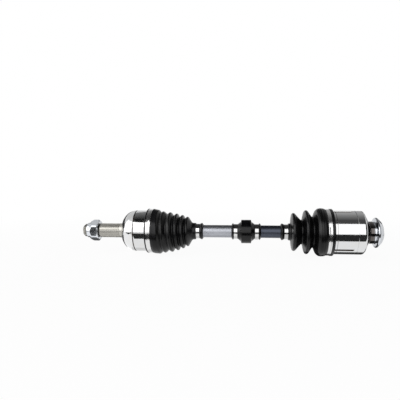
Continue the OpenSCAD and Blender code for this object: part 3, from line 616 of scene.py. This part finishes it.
def band_shells(x, width, radius, angle, wall, ear, groove):
    """A clamp band: a closed strip, and over it a second layer that rises into the pinched ear.
    The layer's path is a circle a strip's wall further out, then the ear's waisted arch at angle."""
    ring = turned(strip_profile(x, width, radius + SEAT_GAP, radius + wall, groove), BAND_SIDES)
    # Half of an ear 4 mm high, from its foot to its top
    arch = np.array([[-4.6, 0.0], [-4.0, 0.03], [-3.5, 0.35], [-3.1, 1.2], [-2.75, 1.9], [-2.85, 2.6], [-3.1, 3.1],
                     [-2.8, 3.5], [-1.8, 3.64], [0, 3.66]]) * [1, ear / 4]
    arch = np.concatenate([arch, arch[-2::-1] * [-1, 1]])
    t = np.linspace(0, len(arch) - 1, 60)
    arch = np.stack([np.interp(t, np.arange(len(arch)), arch[:, k]) for k in (0, 1)], axis=1)
    layer, foot, lap_start, lap_end = radius + wall + 0.03, 4.8, -215, -78 / radius
    turn = np.radians(np.linspace(lap_start, lap_end, 110))
    lap = np.stack([np.sin(turn) * layer, np.cos(turn) * layer], axis=1)
    lap = lap[lap[:, 0] ** 2 + (lap[:, 1] - layer) ** 2 > foot ** 2]
    curve = np.stack([arch[:, 0], np.sqrt(layer ** 2 - arch[:, 0] ** 2) + arch[:, 1]], axis=1)
    a = math.radians(angle)
    spin = np.array([[math.cos(a), math.sin(a)], [-math.sin(a), math.cos(a)]])
    over = strip_profile(x + 0.3, width - 0.6, 0.0, 0.34)
    return [(ring, True, True), (carried(np.concatenate([lap, curve]) @ spin, over), False, True)]


class AXLE_OT_bands(bpy.types.Operator):
    """The six clamp bands with their pinched ears."""

    bl_idname = "axle.bands"
    bl_label = "Clamp Bands"

    def execute(self, context):
        s = context.scene.axle_sizes
        wall, ear = s.band_wall / MM, s.ear_height / MM
        # Node, radius, the ear's angle from the top, body and the depth of the strip's groove
        rows = [("outer_large_band", s.outer_grip, 200, "outer_bell", 0.12),
                ("outer_small_band", s.bar_grip, 250, "shaft", 0),
                ("damper_left_band", s.bar_grip, 240, "shaft", 0),
                ("damper_right_band", s.bar_grip, 210, "shaft", 0),
                ("inner_small_band", s.bar_grip, 230, "shaft", 0),
                ("inner_large_band", s.inner_grip, 215, "inner_housing", 0.12)]
        for node, radius, angle, body, groove in rows:
            low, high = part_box(node)
            shells = band_shells(low.x / MM, (high.x - low.x) / MM, radius / MM, angle, wall, ear, groove)
            piece(node + "_strip", shells, "stainless_band", node, body, sharp=40)
        return {"FINISHED"}


def tooth(share, rise=(0.1, 0.24), fall=(0.56, 0.7)):
    """Height from 0 to 1 of a straight-sided tooth over one share of the turn."""
    share = share % 1.0
    up = np.clip((share - rise[0]) / (rise[1] - rise[0]), 0, 1)
    down = np.clip((fall[1] - share) / (fall[1] - fall[0]), 0, 1)
    return up * down


def from_middle(angle, count):
    """The angle from the middle of the nearest of count equal parts of the turn, one of them at angle 0."""
    part = 2 * math.pi / count
    return (angle + part / 2) % part - part / 2


class AXLE_OT_outer_bell(bpy.types.Operator):
    """Bell of the wheel joint with its splined and threaded stub, as one grid from the tip to the hollow."""

    bl_idname = "axle.outer_bell"
    bl_label = "Outer Bell"

    def execute(self, context):
        s = context.scene.axle_sizes
        bell, groove, pitch = s.bell_radius / MM, s.groove_depth / MM, s.thread_pitch / MM
        sides, centre, mouth = 280, -134.0, -117.0
        tip, spline, pilot, shoulder, nose_x = -257.2, -226.0, -186.0, -177.0, -153.5
        root, thread_top, spline_top, teeth = 11.1, 12.0, 13.3, 28
        turn = np.linspace(0, 1, sides, endpoint=False)
        angle = 2 * math.pi * turn
        # Outline from the centre hole round the tip, along the stub and the bell, to the rim of the mouth
        width, drop = nose_x - shoulder - 1, bell - 25
        nose_r = (width ** 2 + drop ** 2) / (2 * drop)
        start = math.degrees(math.atan2(nose_r - drop, -width))
        thread_x = np.arange(tip + 3, spline - 0.4, pitch / 8)
        thread, run_out, spline_run = 2, 4, 5
        parts = [
            [[tip + 5.95, 0], [tip + 3, 1.9], [tip + 0.1, 3.8], [tip, 4.0], [tip, 8.8], [tip + 0.15, 9.1]],
            np.linspace((tip + 0.6, 9.5), (tip + 2.9, 11.0), 8),
            np.stack([thread_x, np.full(len(thread_x), thread_top)], axis=1),
            [[spline - 0.35, root], [spline, root], [spline, 11.7]],
            np.linspace((spline + 0.05, 11.8), (spline + 2, spline_top), 6),
            np.linspace((spline + 3, spline_top), (pilot - 0.05, spline_top), 14),
            [[pilot, spline_top], [pilot + 0.01, 13.0], [pilot + 0.2, 13.15], [pilot + 0.9, 13.45],
             [pilot + 1.2, 13.5], [shoulder - 0.6, 13.5], [shoulder - 0.15, 13.7], [shoulder, 14.2],
             [shoulder, 23.6], [shoulder + 0.1, 23.95], [shoulder + 0.3, 24.3]],
            arc((nose_x, bell - nose_r), nose_r, start, 90, 26),
            [[nose_x + 0.3, bell - groove], [nose_x + 1.5, bell - groove], [nose_x + 1.8, bell], [nose_x + 2.4, bell],
             [-140, bell], [-130, bell], [mouth - 1.2, bell], [mouth - 0.85, bell - 0.1], [mouth - 0.1, bell - 0.85],
             [mouth, bell - 1.2]],
        ]
        x, r, kind = repeated(parts, sides)
        # Thread: a ridge that moves along by one pitch each turn. Spline: straight-sided teeth round the stub.
        ridge = tooth(x / pitch + turn, (0.05, 0.42), (0.58, 0.95))
        fade = np.clip((spline - 2.5 - x) / 2, 0, 1)
        r = np.where(kind == thread, root + (thread_top - root) * ridge * fade, r)
        tops = spline_top - 1 + tooth(teeth * turn, (0.02, 0.1), (0.8, 0.9))
        r = np.where((kind == run_out) | (kind == spline_run), np.minimum(r, tops), r)
        # Two stake slots across the thread at +Y and -Y, with flat floors
        slot_floor, slot_half, slot_length = 9.6, 1.8, 14
        floor = slot_floor / np.maximum(np.abs(np.cos(angle)), 1e-6)
        in_slot = (np.abs(r * np.sin(angle)) < slot_half) & (x < tip + slot_length) & (kind <= thread)
        r = np.where(in_slot, np.minimum(r, floor), r)
        outside = polar(x, r, sides)
        # Hollow seen from the joint's centre: the cage's ball seat, six ball tracks and the mouth's cone
        polar_angle = np.radians(np.linspace(65.3, 180, 64))[:, None]
        seat, seat_half, circle, track, far = 28.2, 9.5, 26.5, 8.01, 60
        away = np.arcsin(np.abs(np.sin(from_middle(angle, 6))) * np.sin(polar_angle))
        reach = circle * np.cos(away) + np.sqrt(np.maximum(track ** 2 - (circle * np.sin(away)) ** 2, 0))
        reach = np.where(circle * np.sin(away) < track, reach, 0)
        slope = np.sin(polar_angle) - np.cos(polar_angle)
        cone = (math.sqrt(seat ** 2 - seat_half ** 2) - seat_half) / np.maximum(slope, 0.05)
        cone = np.where((slope > 0.05) & (polar_angle < math.pi / 2), cone, 0)
        rho = np.maximum(np.maximum(reach, seat), np.minimum(cone, far))
        ahead = np.cos(polar_angle)
        rim = np.where(ahead > 0.01, (mouth - centre) / np.maximum(ahead, 0.01), far)
        rho = np.minimum(rho, np.minimum(rim, far))
        hollow = polar(centre + rho * ahead, rho * np.sin(polar_angle), sides)
        piece("outer_bell_forging", [(np.concatenate([outside, hollow]), False, True)], "polished_forging",
              "outer_bell", "outer_bell", sharp=38)
        return {"FINISHED"}


class AXLE_OT_hub_nut(bpy.types.Operator):
    """Hub nut: a hexagon cut by two chamfer cones, with its thin staking collar."""

    bl_idname = "axle.hub_nut"
    bl_label = "Hub Nut"

    def execute(self, context):
        flat = context.scene.axle_sizes.nut_flats / MM / 2
        corner, seat, face, end, collar, bore, sides = 20.1, -226.3, -242.7, -249.1, 13.66, 12.06, 360
        # Half the flats' width over the cosine of the angle from the middle of the nearest flat
        angle = np.linspace(0, 2 * math.pi, sides, endpoint=False)
        hexagon = flat / np.cos(from_middle(angle, 6))
        x, r, _ = repeated([
            [[end + 0.3, bore], [end, bore + 0.3], [end, collar - 0.5], [end + 0.15, collar - 0.15],
             [end + 0.5, collar], [face - 0.4, collar], [face - 0.1, collar + 0.1], [face, collar + 0.5],
             [face, flat - 1.2]],
            np.linspace((face + 0.01, flat - 1), (face + 5, corner), 14),
            [[face + 8, corner], [seat - 4, corner]],
            np.linspace((seat - 2, corner), (seat, flat - 0.5), 10),
            [[seat, bore + 0.8], [seat - 0.8, bore], [(seat + end) / 2, bore]]], sides)
        piece("hub_nut_forged", [(polar(x, np.minimum(r, hexagon), sides), True, True)], "zinc_plate",
              "hub_nut", "hub_nut", sharp=24)
        return {"FINISHED"}


class AXLE_OT_inner_housing(bpy.types.Operator):
    """Housing of the gearbox joint: slots outside, three roller tracks inside, neck and splined bore."""

    bl_idname = "axle.inner_housing"
    bl_label = "Inner Housing"

    def execute(self, context):
        s = context.scene.axle_sizes
        radius, depth, half = s.housing_radius / MM, s.slot_depth / MM, s.slot_width / MM / 2
        sides, mouth, bottom, neck_x, hub_x, end = 432, 190.0, 255.0, 268.0, 277.0, 293.0
        neck, hub, plain_bore, teeth = 19.9, 18.3, 14.3, 27
        root, tips, plug, past = 13.7, 12.7, 16.3, 40
        turn = np.linspace(0, 1, sides, endpoint=False)
        angle = 2 * math.pi * turn
        rim = [[mouth, 27.2], [mouth, radius - 2.2], [mouth + 0.2, radius - 1.8], [mouth + 1.8, radius - 0.2]]
        # Two fine turned lines round the barrel
        score = [[-0.5, 0], [-0.25, -0.28], [0, -0.4], [0.25, -0.28], [0.5, 0]]
        marks = [[at + a, radius + b] for at in (210.5, 245.6) for a, b in score]
        hub_end = [[hub_x - 0.2, neck], [hub_x, neck - 0.2], [hub_x + 0.5, hub], [end - 1.8, hub],
                   [end - 1.5, hub - 0.1], [end - 0.1, hub - 1.5], [end, hub - 1.8], [end, 15.4], [end - 0.1, 15.2],
                   [end - 0.9, 14.4], [end - 1.1, plain_bore], [end - 5.9, plain_bore], [end - 6, 14.2]]
        barrel, bore, hollow = 1, 4, 6
        parts = [
            rim,
            densified([[mouth + 2.2, radius]] + marks, 0.7),
            stretch(bellows([(bottom + 1, radius, 5, 1), (neck_x + 3, neck, 3, -1)], 0, 0, 0, 12)),
            hub_end,
            [[end - 6, root], [end - 7, root], [bottom + 4.5, root], [bottom + 4.01, root]],
            [[bottom + 4, plug], [bottom + 0.01, plug]],
            [[bottom, 16.6], [bottom, past], [bottom - 0.5, past], [bottom - 20, past], [mouth + 20, past],
             [mouth + 10, past], [mouth + 0.02, past]],
        ]
        x, r, kind = repeated(parts, sides)
        # Slots: a flat floor at depth below the top of the barrel, inside a long outline with a round end
        slot_start, slot_end = 202.5, 240.1
        for middle in (14, 134, 254):
            off = from_middle(angle - math.radians(middle + 90), 1)
            along = np.maximum(x - (slot_end - half), 0)
            within = half - np.hypot(radius * np.sin(off), along)
            draft = np.clip(within / 0.5, 0, 1) * (np.abs(off) < 1)
            draft = draft * np.clip((x - slot_start) / 0.6, 0, 1) * (kind == barrel)
            floor = (radius - depth) / np.maximum(np.cos(off), 0.2)
            r = r + (np.minimum(floor, r) - r) * draft
        # Roller tracks: seen from the axis, a circle about the roller's reach, cut off at the track's top
        reach, track, top, core = 22.0, 16.4, 33.78, 20.6
        lobe = np.abs(from_middle(angle - math.radians(270), 3))
        far = reach * np.cos(lobe) + np.sqrt(np.maximum(track ** 2 - (reach * np.sin(lobe)) ** 2, 0))
        far = np.where(reach * np.sin(lobe) < track, np.minimum(far, top / np.maximum(np.cos(lobe), 0.3)), 0)
        flare = core - 1 + 7.4 * np.clip(1 - (x - mouth) / 20, 0, 1)
        section = np.maximum(np.maximum(core, far), flare)
        r = np.where((kind == hollow) & (r == past), section, r)
        # Bore spline: straight-sided teeth that stand in from the bore's root
        r = np.where(kind == bore, tips + (root - tips) * tooth(teeth * turn), r)
        piece("inner_housing_forging", [(polar(x, r, sides), True, True)], "polished_forging",
              "inner_housing", "inner_housing", sharp=38)
        return {"FINISHED"}


class AXLE_OT_dust_shield(bpy.types.Operator):
    """Roof-shaped ring of plated sheet on the housing's hub."""

    bl_idname = "axle.dust_shield"
    bl_label = "Dust Shield"

    def execute(self, context):
        root, wall, start, finish, rim = 18.34, 1.2, 277.54, 291.4, 27.1
        folds = [(start + 2, root + wall, 1.2, -1), (start + 5.85, rim, 2.4, 1), (finish - 1.6, root + 2.6, 1.6, 1)]
        outer, inner = (np.concatenate([half for pair in bellows(folds, inset, 0, -90, 8) for half in pair])
                        for inset in (0, wall))
        near = rounded([[start, root], [start, root + wall], [start + 0.8, root + wall]], 0.3)
        far = rounded([[finish, root + 1], [finish, root], [finish - wall, root], [finish - wall, root + 0.8]], 0.3)
        outline = np.concatenate([near, outer, far, inner[::-1]])
        piece("dust_shield_sheet", [(turned(outline, SHIELD_SIDES), True, True)], "zinc_plate",
              "dust_shield", "inner_housing", sharp=50)
        return {"FINISHED"}


class AXLE_OT_bar(bpy.types.Operator):
    """The bar with its splined ends, stop collars and clip grooves."""

    bl_idname = "axle.bar"
    bl_label = "Bar"

    def execute(self, context):
        bar = context.scene.axle_sizes.bar_radius / MM
        left, right, race, spider = -149.3, 236.3, -123.0, 208.0
        tops, tooth_height, teeth, groove, collar, sides = 11.46, 0.9, 26, 9.4, 13.5, 260
        waist = bar - 0.9
        left_spline, right_spline = 1, 5
        parts = [
            [[left, 0], [left, 9.8], [left + 0.2, 10.1], [left + 1.5, tops]],
            [[left + 2.99, tops], [left + 3, groove], [left + 4.3, groove], [left + 4.31, tops], [race, tops]],
            [[race + SEAT_GAP, tops], [race + SEAT_GAP, 13], [race + 0.54, collar], [race + 3, collar],
             [race + 3.3, 13.3], [race + 4, bar]],
            np.linspace((race + 5, bar), (134.9, bar), 40),
            [[141.5, waist], [spider - 4, waist], [spider - 3.3, 13.2], [spider - 3, collar], [spider - 0.54, collar],
             [spider - SEAT_GAP, 13], [spider - SEAT_GAP, tops]],
            [[spider, tops], [right - 4.31, tops], [right - 4.3, groove], [right - 3, groove], [right - 2.99, tops]],
            [[right - 1.5, tops], [right - 0.2, 10.1], [right, 9.8], [right, 0]],
        ]
        x, r, kind = repeated(parts, sides)
        turn = np.linspace(0, 1, sides, endpoint=False)
        cut = tops - tooth_height * (1 - tooth(teeth * turn))
        r = np.where((kind == left_spline) | (kind == right_spline), np.minimum(r, cut), r)
        piece("axle_bar_drawn", [(polar(x, r, sides), False, True)], "drawn_bar_steel", "axle_bar", "shaft", sharp=38)
        return {"FINISHED"}


class AXLE_OT_damper(bpy.types.Operator):
    """Rubber vibration damper: a drum between two clamped sleeves."""

    bl_idname = "axle.damper"
    bl_label = "Damper"

    def execute(self, context):
        s = context.scene.axle_sizes
        bar, grip, rise = s.bar_radius / MM, s.bar_grip / MM, s.lip_rise / MM
        middle, half, drum, drum_r = 53.0, 27.0, 9.0, 21.7
        grip_in = half - 4.2
        grip_out = grip_in - 7
        side = rounded([[0, drum_r], [drum - 0.4, drum_r], [drum, drum_r - 0.4], [drum + 0.8, drum_r - 3.6],
                        [grip_out - 1, grip + 1.2], [grip_out, grip + 0.6], [grip_out, grip], [grip_in, grip],
                        [grip_in, grip + 0.8], [grip_in + 1, grip + rise + 1.1], [half - 2, grip + rise + 1],
                        [half, bar + 0.8], [half, bar + SEAT_GAP]], 0.7, 6)
        outline = np.concatenate([side[::-1] * [-1, 1], side[1:]]) + [middle, 0]
        piece("damper_rubber_body", [(turned(outline, DAMPER_SIDES), True, True)], "damper_rubber",
              "damper_rubber", "shaft")
        return {"FINISHED"}


class AXLE_OT_inner_pieces(bpy.types.Operator):
    """Finishes of the pieces inside the joints and the damper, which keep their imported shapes."""

    bl_idname = "axle.inner_pieces"
    bl_label = "Inner Pieces"

    def execute(self, context):
        for obj in NODES.values():
            if not obj.hide_render:
                obj.data.materials[0] = finish_of(obj.data.materials[0].name)
        return {"FINISHED"}


# Stage


def sheet_of(name, corners, material):
    """A flat stage card in millimetres, from its four corners, or from two opposite corners where it is a level
    or an upright rectangle."""
    if len(corners) == 2:
        (x0, y0, z0), (x1, y1, z1) = corners
        level, upright = [(x1, y0, z0), (x1, y1, z0), (x0, y1, z0)], [(x1, y1, z0), (x1, y1, z1), (x0, y0, z1)]
        corners = [corners[0], *(level if z0 == z1 else upright)]
    mesh = bpy.data.meshes.new(name)
    mesh.from_pydata(np.array(corners, float) * MM, [], [(0, 1, 2, 3)])
    obj = bpy.data.objects.new(name, mesh)
    bpy.context.scene.collection.objects.link(obj)
    mesh.materials.append(material)
    return obj


def bare_tree(holder):
    """The empty node tree of a new material or world."""
    holder.use_nodes = True
    holder.node_tree.nodes.clear()
    return holder.node_tree


def card_paper(name, near, far):
    """Plain card: sends the same light in all directions, so the polished steel shows it as an even tone.
    Its level runs from near at y -200 mm to far at y 350 mm."""
    made = bpy.data.materials.new(name)
    tree = bare_tree(made)
    place = add(tree, "TexCoord").outputs["Object"]
    depth = add(tree, "SeparateXYZ", {0: place}).outputs["Y"]
    level = add(tree, "MapRange", {"Value": depth, "From Min": -0.2, "From Max": 0.35, "To Min": near, "To Max": far})
    glow = add(tree, "Emission", {"Color": (1, 1, 1, 1), "Strength": level.outputs[0]})
    add(tree, "OutputMaterial", {"Surface": glow.outputs[0]})
    return made


def seen_directly(tree):
    """1 on rays from the camera, a mirror or glass, and 0 on the rays that carry light."""
    path = add(tree, "LightPath")
    total = add(tree, "Math", {0: path.outputs["Is Camera Ray"], 1: path.outputs["Is Glossy Ray"]}, operation="ADD")
    return add(tree, "Math", {0: total.outputs[0], 1: path.outputs["Is Transmission Ray"]}, operation="ADD",
               use_clamp=True).outputs[0]


def floor_paper(shade):
    """Matt pale floor that keeps the shadow near the axle and goes over to plain white from 0.3 to 0.9 m away."""
    made = bpy.data.materials.new("floor_paper")
    tree = bare_tree(made)
    place = add(tree, "TexCoord").outputs["Object"]
    away = add(tree, "VectorMath", {0: place}, operation="LENGTH").outputs["Value"]
    lift = add(tree, "MapRange", {"Value": away, "From Min": 0.3, "From Max": 0.9, "To Min": 0.95, "To Max": 1.0})
    part = add(tree, "Math", {0: lift.outputs[0], 1: seen_directly(tree)}, operation="MULTIPLY")
    matt = add(tree, "BsdfDiffuse", {"Color": rgba(shade)})
    glow = add(tree, "Emission", {"Color": (1, 1, 1, 1), "Strength": 1.0})
    both = add(tree, "MixShader", {0: part.outputs[0], 1: matt.outputs[0], 2: glow.outputs[0]})
    add(tree, "OutputMaterial", {"Surface": both.outputs[0]})
    return made


def stage_cards(low):
    """Cards that only the glossy surfaces see: name, levels near and far, and corners. low is just over the floor."""
    roof, over = 600, low + 1
    return [
        ("bell_roof_card", 0.015, 0.27, [(-345, -480, roof), (-260, 1600, roof)]),
        ("bar_roof_card", 0.015, 0.06, [(-260, -480, roof), (240, 1600, roof)]),
        ("housing_roof_card", 0.09, 0.5, [(240, -480, roof), (900, 1600, roof)]),
        ("left_roof_card", 0.9, 0.9, [(-1000, -60, roof), (-345, 1600, roof)]),
        ("left_low_card", 0.03, 0.03, [(-160, -67, -34), (-32, -67, -4.5)]),
        ("right_low_card", 0.03, 0.03, [(24, -67, -34), (420, -67, -4.5)]),
        # Painted shadow: a dark card under and behind the axle, which the polished undersides show where the floor's
        # shadow would be.
        ("contact_shadow_card", 0.06, 0.06, [(150, -17, low), (290, 60, low)]),
        ("bell_floor_card", 1.3, 1.3, [(-165, -120, low), (-122, -22, low)]),
        ("bar_floor_card", 1.3, 1.3, [(-44, -120, low), (122, -22, low)]),
        ("housing_floor_card", 1.3, 1.3, [(200, -120, low), (420, -20, low)]),
        ("nut_card", 0.03, 0.03, [(-650, -700, over), (-285, -150, over)]),
        ("right_card", 0.02, 0.02, [(700, -1000, low), (700, -100, roof)]),
        ("right_floor_card", 0.03, 0.03, [(60, -900, low), (700, -125, low)]),
        ("back_floor_card", 0.1, 0.1, [(330, 90, low), (520, 60, low), (900, 600, low), (380, 600, low)]),
        ("back_card", 0.1, 0.1, [(440, 600, low), (900, 600, 300)]),
        ("front_card", 1.9, 1.9, [(-1700, -1250, low), (860, -1250, 1900)]),
        ("left_floor_card", 1.45, 1.45, [(-1000, -900, low), (-165, -130, low), (-165, 60, low), (-1000, 60, low)]),
        ("left_back_card", 0.05, 0.05, [(-1000, 0, low), (-400, 600, 230)]),
        ("stub_floor_card", 0.12, 0.12, [(-330, 5, over), (-185, 120, over)]),
        ("left_card", 3.2, 3.2, [(-1000, -1250, low), (-1000, 0, 900)]),
    ]


class AXLE_OT_stage(bpy.types.Operator):
    """Pale floor, white studio with dark cards, one soft lamp and the camera."""

    bl_idname = "axle.stage"
    bl_label = "Stage"

    def execute(self, context):
        scene = context.scene
        scene.view_settings.view_transform = "Standard"
        floor_z, far = CAD_BOX[0][2] / MM, 6000
        sheet_of("floor", [(-far, -far, floor_z), (far, far, floor_z)], floor_paper(scene.axle_colours.floor))

        scene.world = bpy.data.worlds.new("studio")
        tree = bare_tree(scene.world)
        level = add(tree, "MapRange", {"Value": seen_directly(tree), "To Min": 0.45, "To Max": 1.0})
        glow = add(tree, "Background", {"Color": (1, 1, 1, 1), "Strength": level.outputs[0]})
        add(tree, "OutputWorld", {"Surface": glow.outputs[0]})

        for name, near, away, corners in stage_cards(floor_z + 0.5):
            card = sheet_of(name, corners, card_paper(name + "_paper", near, away))
            for ray in ("camera", "diffuse", "shadow", "transmission"):
                setattr(card, "visible_" + ray, False)

        lamp = bpy.data.lights.new("softbox", "AREA")
        lamp.shape, lamp.size, lamp.size_y, lamp.energy = "RECTANGLE", 1.2, 0.9, 5
        soft = bpy.data.objects.new("softbox", lamp)
        scene.collection.objects.link(soft)
        soft.location = (-0.75, -0.95, 0.75)
        soft.rotation_euler = (math.radians(52), 0, math.radians(-38))

        # The photograph's camera: its place in millimetres, and its turns in degrees
        place, turns = (52.64, -768.09, 110), (-6.34, -3.82, -0.36)
        camera = bpy.data.cameras.new("camera")
        camera.lens, camera.sensor_width, camera.clip_end = 37.35, 36, 100
        eye = bpy.data.objects.new("camera", camera)
        scene.collection.objects.link(eye)
        yaw, pitch, roll = np.radians(turns)
        forward = np.array([math.sin(yaw) * math.cos(pitch), math.cos(yaw) * math.cos(pitch), math.sin(pitch)])
        right = np.array([math.cos(yaw), -math.sin(yaw), 0])
        up = np.cross(right, forward)
        matrix = np.eye(4)
        matrix[:3, 0] = math.cos(roll) * right + math.sin(roll) * up
        matrix[:3, 1] = -math.sin(roll) * right + math.cos(roll) * up
        matrix[:3, 2] = -forward
        matrix[:3, 3] = np.array(place) * MM
        eye.matrix_world = matrix.T
        scene.camera = eye
        return {"FINISHED"}


class AXLE_PT_panel(bpy.types.Panel):
    """Lists the pieces of the drive axle."""

    bl_idname = "AXLE_PT_panel"
    bl_label = "Drive Axle"
    bl_space_type = "VIEW_3D"
    bl_region_type = "UI"
    bl_category = "Drive Axle"

    def draw(self, context):
        for operator in OPERATORS:
            self.layout.operator(operator.bl_idname)
        for group in (context.scene.axle_sizes, context.scene.axle_colours):
            for name in group.__annotations__:
                self.layout.prop(group, name)


OPERATORS = (AXLE_OT_outer_boot, AXLE_OT_inner_boot, AXLE_OT_bands, AXLE_OT_outer_bell, AXLE_OT_hub_nut,
             AXLE_OT_inner_housing, AXLE_OT_dust_shield, AXLE_OT_bar, AXLE_OT_damper, AXLE_OT_inner_pieces,
             AXLE_OT_stage)
CLASSES = (AxleSizes, AxleColours, *OPERATORS, AXLE_PT_panel)


def register():
    """Adds the classes to Blender, and the sizes and colours to its scenes."""
    for made in CLASSES:
        bpy.utils.register_class(made)
    bpy.types.Scene.axle_sizes = bpy.props.PointerProperty(type=AxleSizes)
    bpy.types.Scene.axle_colours = bpy.props.PointerProperty(type=AxleColours)


def unregister():
    """Takes back what register added."""
    del bpy.types.Scene.axle_colours
    del bpy.types.Scene.axle_sizes
    for made in reversed(CLASSES):
        bpy.utils.unregister_class(made)


def main():
    """Registers the classes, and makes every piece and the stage."""
    register()
    for operator in OPERATORS:
        group, name = operator.bl_idname.split(".")
        getattr(getattr(bpy.ops, group), name)()


if __name__ == "__main__":
    main()
